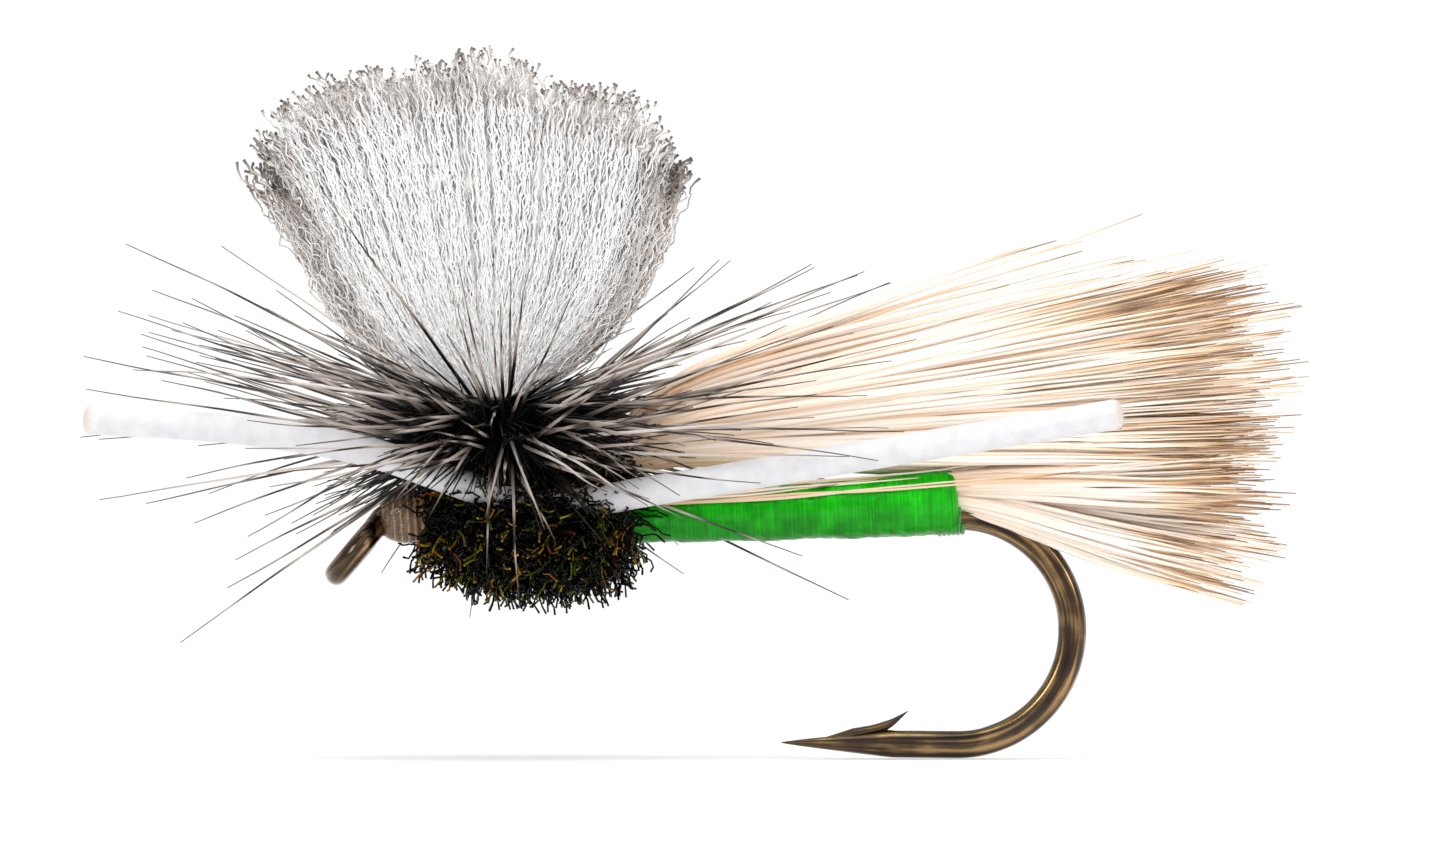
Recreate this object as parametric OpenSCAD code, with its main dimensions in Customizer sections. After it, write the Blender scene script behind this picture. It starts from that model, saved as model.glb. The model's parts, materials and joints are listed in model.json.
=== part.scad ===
// Dry fly: a parachute attractor pattern tied on a 2X-long, down-eye hook.
// Millimetres. Origin at the centre of the hook's eye, +X along the shank to the bend, +Z up to the post.

/* [Hook] */
// Diameter of the hook wire
wire_d = 0.74; // [0.6:0.02:0.8]
// Height of the shank's axis above the eye's centre
shank_z = 0.92; // [0.85:0.01:1.05]
// Where the shank ends and the bend begins
bend_x = 15.85; // [15.5:0.05:17]
// Centre-line radius of the bend, half of the gape
bend_r = 3.0; // [2.8:0.05:3.3]
// Length of the spear, from the bend to the needle point
spear_len = 4.68; // [4.3:0.02:5.5]
// Thickness of the forged bend between its two flats
flat_t = 0.6; // [0.5:0.02:0.66]
// How far the eye is turned down from the shank
eye_angle = 50; // [45:1:55]
// Diameter of the hole in the eye
eye_bore_d = 1.0; // [0.9:0.02:1.1]
// Diameter of the tapered wire that the eye is rolled from
eye_wire_d = 0.62; // [0.56:0.02:0.66]

/* [Body] */
// Where the floss body starts, inside the thorax
body_x0 = 6.95; // [6.8:0.05:7.1]
// Body radius at the thorax end
body_r0 = 0.65; // [0.62:0.01:0.7]
// Body radius at the tail end
body_r1 = 0.88; // [0.84:0.01:0.95]
// Thickness of the floss
floss_t = 0.1; // [0.08:0.01:0.12]

/* [Thread] */
// Pitch of one thread turn
thread_pitch = 0.11; // [0.1:0.01:0.2]
// Radius over the thread that covers the shank
base_r = 0.45; // [0.43:0.01:0.46]

/* [Wing post and hackle] */
// Distance of the post's axis from the eye
post_x = 3.85; // [3.8:0.05:3.9]
// Radius of the yarn inside its thread wraps
post_r = 0.58; // [0.5:0.01:0.6]
// Height at which the yarn leaves its thread wraps and fans out
post_top_z = 4.0; // [3.9:0.05:4.2]
// Radius of the hackle, from the post's axis to the barb tips
hackle_r = 9.4; // [8:0.1:10]
// Turns of the hackle feather round the post
hackle_turns = 5; // [4:1:6]
// Thickness of the bare hackle stem
stem_d = 0.25; // [0.2:0.01:0.28]
// Angle by which the hackle collar rises to its rim
hackle_rise = 17; // [16:1:20]

/* [Rubber legs] */
// Diameter of the round rubber
leg_d = 0.79; // [0.7:0.01:0.82]
// Half of the gap at each bend of a leg
bend_gap = 0.075; // [0.07:0.005:0.1]
// Length of the short root that lifts before the leg sweeps
root_len = 0.9; // [0.8:0.05:1]

/* [Hidden] */

$fn = 64;
fit = 0.01;                          // clearance between windings that lie on each other
swell = 0.008;                       // how far a bend stands proud of the straight wire or rubber
ring_n = 40;                         // points round each section of a hair bundle
lobes = 10;                          // tufts that show as ridges along a bundle
wire_r = wire_d / 2;
bore_r = eye_bore_d / 2;
eye_wire_r = eye_wire_d / 2;
eye_ring_r = bore_r + eye_wire_r - 0.03;      // the hole is reamed 0.03 into the rolled wire
neck_x = shank_z / tan(eye_angle);            // where the neck of the eye meets the shank
bend_z = shank_z - bend_r;                    // height of the bend's centre
spear_z = bend_z - bend_r;                    // height of the spear's axis
point_x = bend_x - spear_len;
taper_len = 2.9;                              // length of the ground needle point
barb_x = point_x + 3.43;                      // tip of the barb
barb_rise = 0.91;                             // barb tip above the spear's axis

head_x = 1.0;                                 // the thread head starts just behind the eye
head_turns = 6;
head_r = 0.66;                                // radius over the head's thread
cement_t = 0.04;                              // thickness of the lacquer over it
bind_t = 0.06;                                // thickness of a thread band round hair
wing_tie = [5.7, 0, 1.27];                    // where the wing's butts are bound down on the shank
wing_tie_half = 0.37;                         // half the distance between the wing's butts and the shank
wing_tie_r = 0.47;                            // radius inside that band
anchor_x = 2.5;                               // wraps in front of the post hold its fold
anchor_r = 0.56;
post_fold_z = 0.35;                           // lowest place of the yarn, folded under the shank
post_wraps_z = 2.05;
post_wraps_turns = 17;
post_wraps_r = 0.74;                          // radius over the thread that gathers the post
stem_z = 2.55;                                // height of the first turn of the hackle's stem
barbs_z = 3.05;                               // height of the barbs' roots
barb_t = 0.3;                                 // half of the thickness of the mass of barbs at its root

body_x1 = bend_x;
body_z0 = 0.85;                               // the body climbs over the tail butts to its rear
body_z1 = 1.27;
tail_wraps_x0 = 9.0;                          // the tail's wraps take over where the thread base ends
tail_wraps_x1 = 15.3;
leg_band_x = 4.65;                            // where the rubber strands are bound down
leg_band_r = 0.72;
leg_band_t = 0.08;
leg_band_len = 6 * thread_pitch;

leg_r = leg_d / 2;
strand_mid = [4.85, -0.86, 1.1];              // each strand is bound here and both of its legs start from here
rear_tip = [19.8, -4.95, 3.58];
front_bends = [[0.1, -2.35, 2.68], [-3.2, -3.3, 3.22]];
front_tip = [-6.74, -4.3, 3.45];

// ---------- shared shapes ----------

// a cylinder or cone between two points
module rod(from, to, r1, r2) {
    v = to - from;
    translate(from)
        rotate([0, acos(v[2] / norm(v)), atan2(v[1], v[0])])
            cylinder(h = norm(v), r1 = r1, r2 = r2);
}

// a bent strand: straight stretches with a slightly swollen ball at each inner corner
module strand(path, r) {
    for (i = [0 : len(path) - 2])
        rod(path[i], path[i + 1], r, r);
    for (i = [1 : 1 : len(path) - 2])
        translate(path[i])
            sphere(r = r + swell);
}

// turns of thread or stem, as a sleeve along +Z whose outside swells once in every turn
function turn_profile(r_in, r_out, turns, pitch, dip) = concat(
    [[r_in, 0]],
    [for (i = [0 : turns * 4]) [r_out - dip * pow(cos(i * 45), 2), i * pitch / 4]],
    [[r_in, turns * pitch]]
);

module winding(r_in, r_out, turns, pitch, dip = 0.03)
    rotate_extrude()
        polygon(turn_profile(r_in, r_out, turns, pitch, dip));

// the same sleeve laid along the shank from x0
module shank_winding(x0, r_in, r_out, turns, pitch, dip = 0.03)
    translate([x0, 0, shank_z])
        rotate([0, 90, 0])
            winding(r_in, r_out, turns, pitch, dip);

// a closed bundle through elliptical sections with ridges;
// a section is [three centre coordinates, half-width, half-height, depth of the ridges]
function at(i) = i * 360 / ring_n;
function ridge(s, i) = 1 - s[5] * (1 - cos(lobes * at(i))) / 2;
function along_x(s) = [for (i = [0 : ring_n - 1])
    [s[0], s[1] + s[3] * ridge(s, i) * cos(at(i)), s[2] + s[4] * ridge(s, i) * sin(at(i))]];
function along_z(s) = [for (i = [0 : ring_n - 1])
    [s[0] + s[3] * ridge(s, i) * cos(at(i)), s[1] + s[4] * ridge(s, i) * sin(at(i)), s[2]]];

module bundle(rings) {
    last = (len(rings) - 1) * ring_n;
    sides = [for (j = [0 : len(rings) - 2], i = [0 : ring_n - 1])
        let (a = j * ring_n + i, b = j * ring_n + (i + 1) % ring_n)
            each [[a, b + ring_n, b], [a, a + ring_n, b + ring_n]]];
    caps = [for (i = [1 : ring_n - 2])
        each [[0, i, i + 1], [last, last + i + 1, last + i]]];
    polyhedron(points = [for (r = rings) each r], faces = concat(sides, caps));
}

// a thread band round things bound side by side: two round ends, at -half and +half, and what joins them
module band_outline(half, r) {
    for (side = [-1, 1])
        translate([side * half, 0])
            circle(r = r);
    square([2 * half, 2 * r], center = true);
}

module band(half, r_in, r_out, length)
    linear_extrude(height = length)
        difference() {
            band_outline(half, r_out);
            band_outline(half, r_in);
        }

// the body's cone, inset from its surface, from one place on the shank to another
function body_at(x) = (x - body_x0) / (body_x1 - body_x0);
function body_r(x) = body_r0 + (body_r1 - body_r0) * body_at(x);
function body_z(x) = body_z0 + (body_z1 - body_z0) * body_at(x);

module body_cone(inset, x0, x1)
    rod([x0, 0, body_z(x0)], [x1, 0, body_z(x1)], body_r(x0) - inset, body_r(x1) - inset);

// ---------- hook ----------

module eye_ring()
    rotate([0, -eye_angle, 0])
        difference() {
            rotate_extrude()
                translate([eye_ring_r, 0])
                    circle(r = eye_wire_r);
            cylinder(h = 2 * eye_wire_d, r = bore_r, center = true);
        }

module eye_neck() {
    corner = [neck_x, 0, shank_z];
    rod(corner * eye_ring_r / norm(corner), corner, eye_wire_r - 0.03, wire_r - 0.01);
    translate(corner)
        sphere(r = wire_r + swell);
}

module forged_bend()
    intersection() {
        translate([bend_x, 0, bend_z])
            rotate([90, 0, 0])
                rotate([0, 0, -90])
                    rotate_extrude(angle = 180)
                        translate([bend_r, 0])
                            circle(r = wire_r + swell);
        translate([bend_x - 1, -flat_t / 2, spear_z - wire_d])
            cube([bend_r + 1 + wire_d, flat_t, 2 * bend_r + 2 * wire_d]);
    }

module spear() {
    taper_x = point_x + taper_len;
    rod([bend_x + 0.05, 0, spear_z], [taper_x, 0, spear_z], wire_r, wire_r);
    rod([taper_x, 0, spear_z], [point_x, 0, spear_z], wire_r, 0.012);
}

// the barb is a sliver cut up from the top of the spear, with its tip towards the bend
module barb()
    translate([barb_x, 0, spear_z])
        rotate([90, 0, 0])
            linear_extrude(height = 0.28, center = true)
                polygon([[-2.1, 0.08], [-0.97, 0.46], [-0.5, 0.62], [0, barb_rise], [-0.3, 0.5], [-0.5, 0.1]]);

module hook()
    color("#6b5433") {
        eye_ring();
        eye_neck();
        rod([neck_x, 0, shank_z], [bend_x + 0.05, 0, shank_z], wire_r, wire_r);
        forged_bend();
        spear();
        barb();
    }

// ---------- thread ----------

module thread_base() {
    x0 = 0.98;
    turns = floor((tail_wraps_x0 - x0) / (4 * thread_pitch));
    color("#5a4630")
        shank_winding(x0, wire_r + fit, base_r, turns, 4 * thread_pitch, 0.02);
}

module head_wraps()
    color("#7a5c35")
        shank_winding(head_x, base_r + fit, head_r, head_turns, thread_pitch);

module head_cement()
    color("#a8875a")
        translate([head_x + 2 * fit, 0, shank_z])
            rotate([0, 90, 0])
                difference() {
                    cylinder(h = head_turns * thread_pitch - 4 * fit, r = head_r + cement_t);
                    translate([0, 0, -1])
                        cylinder(h = 3, r = head_r + fit);
                }

module tail_tie_wraps()
    color("#3f8f2a")
        difference() {
            body_cone(floss_t + fit, tail_wraps_x0, tail_wraps_x1);
            body_cone(floss_t + fit + 0.05, tail_wraps_x0 - 0.1, tail_wraps_x1 + 0.1);
        }

module wing_tie_wraps()
    color("#2b2420")
        translate(wing_tie)
            rotate([0, 90, 0])
                band(wing_tie_half, wing_tie_r, wing_tie_r + bind_t, 5 * thread_pitch);

module post_anchor_wraps()
    color("#2b2420")
        shank_winding(anchor_x, base_r + fit, anchor_r, 6, thread_pitch);

module post_wraps()
    color("#2b2420")
        translate([post_x, 0, post_wraps_z])
            winding(post_r + fit, post_wraps_r, post_wraps_turns, thread_pitch);

// places a section drawn across the shank where the rubber strands are bound
module at_leg_band(x)
    translate([x, 0, strand_mid[2] - 0.02])
        rotate([90, 0, 90])
            children();

module leg_tie_wraps()
    color("#2b2420")
        at_leg_band(leg_band_x)
            band(-strand_mid[1], leg_band_r - leg_band_t, leg_band_r, leg_band_len);

// ---------- hair, floss, herl, yarn and hackle ----------

module tail_hair()
    color("#d8bd9c")
        bundle([for (s = [
            [10.2, 0, 1.43, 0.10, 0.05, 0],
            [12.5, 0, 1.48, 0.28, 0.12, 0],
            [15.2, 0, 1.61, 0.42, 0.22, 0],
            [15.8, 0, 1.68, 0.52, 0.32, 0.04],
            [16.6, 0, 1.86, 0.72, 0.56, 0.06],
            [18.0, 0, 1.80, 1.05, 0.98, 0.08],
            [19.6, 0, 1.50, 1.4, 1.36, 0.1],
            [22.0, 0, 1.18, 1.75, 1.74, 0.14],
            [24.0, 0, 0.98, 1.78, 1.8, 0.2],
            [24.9, 0, 0.95, 1.2, 1.3, 0.3],
            [25.2, 0, 0.95, 0.5, 0.55, 0.3]
        ]) along_x(s)]);

module wing_hair()
    color("#cfae88")
        bundle([for (s = [
            [5.55, 0, 1.66, 0.34, 0.24, 0],
            [6.3, 0, 1.68, 0.38, 0.25, 0],
            [7.0, 0, 2.40, 0.75, 0.58, 0.05],
            [8.2, 0, 3.00, 1.05, 0.92, 0.06],
            [10.5, 0, 3.50, 1.35, 1.22, 0.08],
            [14.3, 0, 4.28, 1.7, 1.45, 0.1],
            [19.6, 0, 5.20, 2.0, 1.75, 0.14],
            [23.0, 0, 5.52, 2.2, 2.1, 0.2],
            [24.4, 0, 5.55, 1.75, 1.65, 0.3],
            [25.1, 0, 5.55, 0.8, 0.75, 0.3]
        ]) along_x(s)]);

module body_floss()
    color("#35d31c")
        difference() {
            body_cone(0, body_x0, body_x1);
            body_cone(floss_t, body_x0 - 0.1, body_x1 + 0.1);
        }

// the yarn is folded under the shank, gathered by its wraps, and fans out above them
module post_yarn()
    color("#f2efec") {
        difference() {
            translate([post_x, 0, post_fold_z])
                cylinder(h = post_top_z - post_fold_z, r = post_r);
            translate([post_x - 1, 0, shank_z])
                rotate([0, 90, 0])
                    cylinder(h = 2, r = base_r + fit);
        }
        bundle([for (s = [
            [3.85, 0, 3.98, 0.55, 0.55, 0],
            [3.65, 0, 4.6, 1.3, 0.8, 0.04],
            [3.2, 0, 6.2, 3.1, 1.35, 0.06],
            [3.15, 0, 8.2, 4.3, 2.0, 0.08],
            [2.85, 0, 10.3, 5.3, 2.6, 0.1],
            [2.75, 0, 11.4, 4.5, 2.3, 0.14],
            [2.9, 0, 12.2, 2.9, 1.5, 0.18],
            [3.0, 0, 12.6, 1.2, 0.6, 0.18]
        ]) along_z(s)]);
    }

module hackle_stem()
    color("#2a2622")
        translate([post_x, 0, stem_z])
            winding(post_wraps_r + fit, post_wraps_r + fit + stem_d, hackle_turns, stem_d, 0.08);

// the collar of barbs: a thin dish that rises from the stem, cut into pointed blades round its rim
module hackle_barbs() {
    r_in = post_wraps_r + stem_d + 3 * fit;
    rim_z = (hackle_r - r_in) * tan(hackle_rise);
    blades = 32;
    reach = [1, 0.95, 0.98, 0.92];
    color("#8f8880")
        translate([post_x, 0, barbs_z])
            intersection() {
                rotate_extrude()
                    polygon([
                        [r_in, 0], [r_in, 2 * barb_t],
                        [hackle_r + 1, rim_z + 1.5 * barb_t], [hackle_r + 1, rim_z + barb_t]
                    ]);
                linear_extrude(height = 9)
                    polygon([for (i = [0 : blades - 1])
                        let (a = i * 360 / blades, step = 360 / blades, r = hackle_r * reach[i % 4])
                            each [
                                r * [cos(a - 0.5), sin(a - 0.5)],
                                r * [cos(a + 0.5), sin(a + 0.5)],
                                0.45 * r * [cos(a + step / 2), sin(a + step / 2)]
                            ]
                    ]);
            }
}

module herl_solid(points)
    translate([0, 0, shank_z])
        rotate([0, 90, 0])
            rotate_extrude()
                polygon([for (p = points) [p[1], p[0]]]);

// clearance round one side's legs, which swing where they leave the herl
module leg_ways()
    for (dir = [rear_dir, front_dir])
        rod(strand_mid, strand_mid + 4.5 * dir, leg_r + 0.05, leg_r + 0.4);

// peacock herl wound round everything bound on the shank, open where the post, wing and legs leave it
module thorax_herl()
    color("#1d1a14")
        difference() {
            herl_solid([
                [1.75, 0.47], [1.75, 0.85], [2.4, 1.28], [3.4, 1.62], [4.6, 1.74],
                [5.8, 1.66], [6.7, 1.32], [7.35, 0.9], [7.35, 0.72], [6.3, 0.75],
                [6.2, 1.47], [2.75, 1.2], [2.3, 0.6], [2.2, 0.47]
            ]);
            translate([post_x, 0, shank_z])
                cylinder(h = 3, r = 1.05);
            translate([6.1, -1.5, 1.75])
                rotate([0, 35, 0])
                    cube([4, 3, 3]);
            leg_ways();
            mirror([0, 1, 0])
                leg_ways();
            at_leg_band(leg_band_x - fit)
                linear_extrude(height = leg_band_len + 2 * fit)
                    band_outline(-strand_mid[1], leg_band_r + fit);
        }

// ---------- rubber legs ----------

function unit(v) = v / norm(v);
rear_dir = unit(rear_tip - strand_mid);
front_dir = unit(front_bends[0] - strand_mid);
rear_pivot = strand_mid + 1.88 * rear_dir;
front_pivot = strand_mid + 1.77 * front_dir;

// the bends of each leg, from the pivot at the thorax to the tip
rear_root = rear_pivot + root_len * rear_dir;
rear_path = [
    rear_pivot,
    rear_root,
    rear_root + (rear_tip - rear_root) / 3,
    rear_root + (rear_tip - rear_root) * 2 / 3,
    rear_tip
];
front_path = [
    front_pivot,
    front_pivot + root_len * front_dir,
    front_bends[0],
    front_bends[1],
    front_tip
];

// one straight length of a leg, held back from the bend at each end
module leg_length(path, i) {
    dir = unit(path[i + 1] - path[i]);
    to = path[i + 1] - (i < 3 ? bend_gap : 0) * dir;
    color("#f4f2f0")
        rod(path[i] + bend_gap * dir, to, leg_r, leg_r);
}

module left_strand_middle()
    color("#f4f2f0")
        strand([rear_pivot - bend_gap * rear_dir, strand_mid, front_pivot - bend_gap * front_dir], leg_r);

module right(on_right)
    mirror([0, on_right ? 1 : 0, 0])
        children();

// ---------- assembly ----------

hook();
thread_base();
head_wraps();
head_cement();
tail_hair();
tail_tie_wraps();
body_floss();
wing_hair();
wing_tie_wraps();
post_yarn();
post_anchor_wraps();
post_wraps();
hackle_stem();
hackle_barbs();
thorax_herl();
leg_tie_wraps();
left_strand_middle();
right(true) left_strand_middle();  // right_strand_middle

PARTS = ["root", "inner", "middle", "tip"];
for (i = [0 : 3]) {
    right(false) leg_length(rear_path, i);
    right(true) leg_length(rear_path, i);
    right(false) leg_length(front_path, i);
    right(true) leg_length(front_path, i);
}
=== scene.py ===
# %% [markdown]
# # A floating fly, tied in Blender
#
# A fishing fly is small: this one is about 32 mm long, and nearly all of it is fibre. There is hair, feather,
# yarn, floss, thread and rubber, and one bent wire, the hook. Each cell below makes one of those materials or
# one bundle of them, in the order in which a fly is tied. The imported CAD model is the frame: it says where
# each bundle starts and ends, and it stays in place while the fibres that it stands for are grown round it.

# %% Load the frame
import json
import math

import bmesh
import bpy
import numpy as np
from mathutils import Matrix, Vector


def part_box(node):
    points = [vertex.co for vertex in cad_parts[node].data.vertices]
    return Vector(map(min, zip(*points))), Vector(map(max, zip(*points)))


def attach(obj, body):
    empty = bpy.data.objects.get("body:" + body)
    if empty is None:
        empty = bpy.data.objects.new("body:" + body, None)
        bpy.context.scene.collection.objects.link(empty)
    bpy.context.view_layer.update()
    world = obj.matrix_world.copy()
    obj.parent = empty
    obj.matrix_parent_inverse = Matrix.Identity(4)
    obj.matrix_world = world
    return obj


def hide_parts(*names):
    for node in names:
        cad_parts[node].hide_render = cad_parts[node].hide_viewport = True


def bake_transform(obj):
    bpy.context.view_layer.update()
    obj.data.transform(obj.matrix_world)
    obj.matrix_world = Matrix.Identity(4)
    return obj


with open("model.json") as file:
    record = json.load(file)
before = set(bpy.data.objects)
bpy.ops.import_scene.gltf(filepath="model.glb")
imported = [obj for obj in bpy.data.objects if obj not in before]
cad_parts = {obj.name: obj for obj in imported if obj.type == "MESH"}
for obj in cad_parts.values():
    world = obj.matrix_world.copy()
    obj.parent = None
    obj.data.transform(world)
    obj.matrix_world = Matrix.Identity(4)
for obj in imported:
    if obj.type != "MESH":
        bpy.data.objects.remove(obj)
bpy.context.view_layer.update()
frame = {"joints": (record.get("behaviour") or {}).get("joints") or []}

MM = 0.001

# %% [markdown]
# ## Camera
#
# A fly is judged from its side, level with the shank, and through a long lens, so that the near and the far
# hackle barbs come out the same size. The lens stands 400 mm away and takes in 38 mm of width.

# %% Camera
VIEW_CENTRE = (9.645, 3.079)
VIEW_WIDTH = 38.03
LENS_DISTANCE = 400.0
SENSOR = 36.0

camera = bpy.data.objects.new("camera", bpy.data.cameras.new("camera"))
bpy.context.scene.collection.objects.link(camera)
camera.location = (VIEW_CENTRE[0] * MM, -LENS_DISTANCE * MM, VIEW_CENTRE[1] * MM)
camera.rotation_euler = (math.radians(90), 0, 0)
camera.data.sensor_width = SENSOR
camera.data.lens = SENSOR * LENS_DISTANCE / VIEW_WIDTH
camera.data.clip_start = 0.01
camera.data.clip_end = 10
bpy.context.scene.camera = camera
print("lens", round(camera.data.lens), "mm, on", round(VIEW_WIDTH, 1), "mm of width")

# %% [markdown]
# ## Places
#
# Places are in millimetres, from the centre of the hole in the eye. Those that pieces share come from the
# frame: the height of the shank, the axis of the post, the ends of the body and the bends of each leg. The
# outlines of the bundles are given where each is made.

# %% Places
def box_mm(name):
    """The low and the high corner of a node's box."""
    low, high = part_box(name)
    return np.array(low) / MM, np.array(high) / MM


def middle(name):
    """The middle of a node's box."""
    low, high = box_mm(name)
    return (low + high) / 2


SHANK_Z = middle("thread_base")[2]
POST_X = middle("post_wraps")[0]
hook_low = box_mm("hook")[0]
body_low, body_high = box_mm("body_floss")
print("shank height", round(SHANK_Z, 2), "post at", round(POST_X, 2), "hook from", hook_low.round(2))

# %% [markdown]
# ## Small tools for meshes
#
# Two kinds of mesh are enough for the whole fly. A *skin* is a row of closed rings joined into a tube with
# capped ends, and it makes the wire, the rubber and the floss body. A *line mesh* is a set of polylines that
# carry attributes, and it is what Geometry Nodes grow into strands. The skin's UV map is in millimetres along
# the tube and in turns round it, so a pattern can follow the surface.

# %% Tools for meshes
PATH_STEPS = 24  # between two points of a smooth path, before it is evened out
CHAMFER_ROWS = 3  # rows of faces at the end of a skin that take the finish of its cut
SHARP = math.radians(50)


def rng(seed):
    """A seeded source of random numbers."""
    return np.random.default_rng(seed)


def new_object(name, mesh):
    """An object in the scene that holds the mesh or the lamp."""
    made = bpy.data.objects.new(name, mesh)
    bpy.context.scene.collection.objects.link(made)
    return made


def smooth_path(points, count):
    """A smooth curve through the points, evenly spaced along its length."""
    points = np.array(points, float)
    ends = np.vstack([2 * points[0] - points[1], points, 2 * points[-1] - points[-2]])
    fine = []
    for i in range(len(points) - 1):
        a, b, c, d = ends[i : i + 4]
        t = np.linspace(0, 1, PATH_STEPS, endpoint=False)[:, None]
        fine.append(
            0.5 * (2 * b + (c - a) * t + (2 * a - 5 * b + 4 * c - d) * t**2 + (3 * b - a - 3 * c + d) * t**3)
        )
    fine = np.vstack(fine + [points[-1:]])
    step = np.linalg.norm(np.diff(fine, axis=0), axis=1)
    length = np.concatenate([[0], np.cumsum(step)])
    even = np.linspace(0, length[-1], count)
    return np.column_stack([np.interp(even, length, fine[:, k]) for k in range(3)])


def frames(path):
    """Two directions across the path at each point, carried along it without twisting."""
    along = np.gradient(path, axis=0)
    along /= np.linalg.norm(along, axis=1)[:, None]
    first = np.cross(along[0], (0, 1, 0))
    if np.linalg.norm(first) < 0.1:
        first = np.cross(along[0], (0, 0, 1))
    across = []
    for direction in along:
        first = first - direction * first.dot(direction)
        first = first / np.linalg.norm(first)
        across.append(first)
    across = np.array(across)
    return across, np.cross(along, across)


def tube_rings(path, radii, sides=32):
    """Round rings along a path, as an array of rings by points by three."""
    a, b = frames(path)
    turn = np.linspace(0, 2 * math.pi, sides, endpoint=False)
    circle = np.cos(turn)[None, :, None] * a[:, None] + np.sin(turn)[None, :, None] * b[:, None]
    return path[:, None] + circle * np.asarray(radii, float).reshape(-1, 1, 1)


print("a smooth path through 3 places has", len(smooth_path([[0, 0, 0], [1, 0, 1], [2, 0, 0]], 9)), "points")

# %% [markdown]
# A curve with a bevel would make the same tube, but its caps couldn't take a finish of their own, and its UV
# map wouldn't be in millimetres. So the faces are made ring by ring.

# %% A skin
def skin(name, rings, material, begin=0.0, cut=None):
    """A closed tube through rings in mm. begin is its first u; cut finishes its caps and last rows."""
    count, sides = rings.shape[:2]
    inner = rings.reshape(-1, 3)
    ends = [rings[0].mean(0), rings[-1].mean(0)]
    verts = np.vstack([inner, ends]) * MM
    faces = []
    for i in range(count - 1):
        for j in range(sides):
            k = (j + 1) % sides
            faces.append((i * sides + j, (i + 1) * sides + j, (i + 1) * sides + k, i * sides + k))
    last = (count - 1) * sides
    for j in range(sides):
        k = (j + 1) % sides
        faces.append((count * sides, j, k))
        faces.append((count * sides + 1, last + k, last + j))
    mesh = bpy.data.meshes.new(name)
    mesh.from_pydata(verts.tolist(), [], faces)
    centre_step = np.linalg.norm(np.diff(rings.mean(1), axis=0), axis=1)
    far = begin + np.concatenate([[0], np.cumsum(centre_step)])
    uv = mesh.uv_layers.new(name="along_and_round").data
    at = 0
    for i in range(count - 1):
        for j in range(sides):
            for u, v in ((far[i], j), (far[i + 1], j), (far[i + 1], j + 1), (far[i], j + 1)):
                uv[at].uv = (u, v / sides)
                at += 1
    for j in range(sides):
        for end in (far[0], far[-1]):
            for v in (j, j, j + 1):
                uv[at].uv = (end, v / sides)
                at += 1
    if signed_volume(verts, faces) < 0:
        mesh.flip_normals()
    mesh.shade_smooth()
    mesh.set_sharp_from_angle(angle=SHARP)
    mesh.materials.append(material)
    if cut:
        mesh.materials.append(cut)
        for face in mesh.polygons[(count - 1 - CHAMFER_ROWS) * sides :]:
            face.material_index = 1
    return new_object(name, mesh)


def signed_volume(verts, faces):
    """Six times the volume that the faces close in, and negative if they face inwards."""
    total = 0.0
    for face in faces:
        a = verts[face[0]]
        for b, c in zip(face[1:-1], face[2:]):
            total += a.dot(np.cross(verts[b], verts[c]))
    return total


print("edges of a skin are sharp above", round(math.degrees(SHARP)), "degrees")

# %% [markdown]
# The guides of a bundle say at each point how far its strands may spread, and a mesh made of edges only can
# carry that. Lumps are a sum of a few seeded waves, which is smooth and the same on every run.

# %% Lines and lumps
def line_mesh(name, lines, **fields):
    """Polylines in mm, with attributes on their points, for Geometry Nodes to grow strands on."""
    verts = np.concatenate(lines) * MM
    edges = []
    start = 0
    for line in lines:
        edges += [(start + i, start + i + 1) for i in range(len(line) - 1)]
        start += len(line)
    mesh = bpy.data.meshes.new(name)
    mesh.from_pydata(verts.tolist(), edges, [])
    for key, values in fields.items():
        flat = np.concatenate(values) * MM
        layer = mesh.attributes.new(key, "FLOAT_VECTOR", "POINT")
        layer.data.foreach_set("vector", flat.astype(np.float32).ravel())
    return new_object(name, mesh)


def ripples(points, size, seed, waves=14):
    """Soft lumps about that many mm across, between about -1 and 1."""
    draw = rng(seed)
    directions = draw.normal(size=(waves, 3))
    directions /= np.linalg.norm(directions, axis=1)[:, None]
    pitch = 2 * math.pi / (size * draw.uniform(0.7, 1.5, waves))
    phase = draw.uniform(0, 2 * math.pi, waves)
    return np.sin(points @ directions.T * pitch + phase).sum(-1) / math.sqrt(waves)


print("at the centre of the eye, ripples with seed 2 are", ripples(np.zeros((1, 3)), 1.0, 2).round(2))

# %% [markdown]
# ## One function for nodes
#
# Shader trees and Geometry Nodes trees are built the same way: a node, its settings, and what goes into its
# sockets. A value may be a number, another node (its first output is used) or one chosen socket.

# %% Tool for nodes
def add(tree, kind, inputs=None, stops=(), **settings):
    """Adds a node: its settings, its inputs' values or links, and a ramp's stops as (place, hex colour)."""
    made = tree.nodes.new(kind)
    for key, value in settings.items():
        setattr(made, key, value)
    for key, value in (inputs or {}).items():
        if isinstance(value, bpy.types.Node):
            value = value.outputs[0]
        if isinstance(value, bpy.types.NodeSocket):
            tree.links.new(value, made.inputs[key])
        else:
            made.inputs[key].default_value = value
    for _ in stops[2:]:
        made.color_ramp.elements.new(0.5)
    for i, (place, colour) in enumerate(stops):
        made.color_ramp.elements[i].position = place
        made.color_ramp.elements[i].color = linear(colour)
    return made


def linear(hex_colour):
    """An sRGB hex colour as the linear colour that Blender's sockets want."""
    parts = [int(hex_colour[i : i + 2], 16) / 255 for i in (1, 3, 5)]
    return tuple(p / 12.92 if p <= 0.04045 else ((p + 0.055) / 1.055) ** 2.4 for p in parts) + (1.0,)


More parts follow.
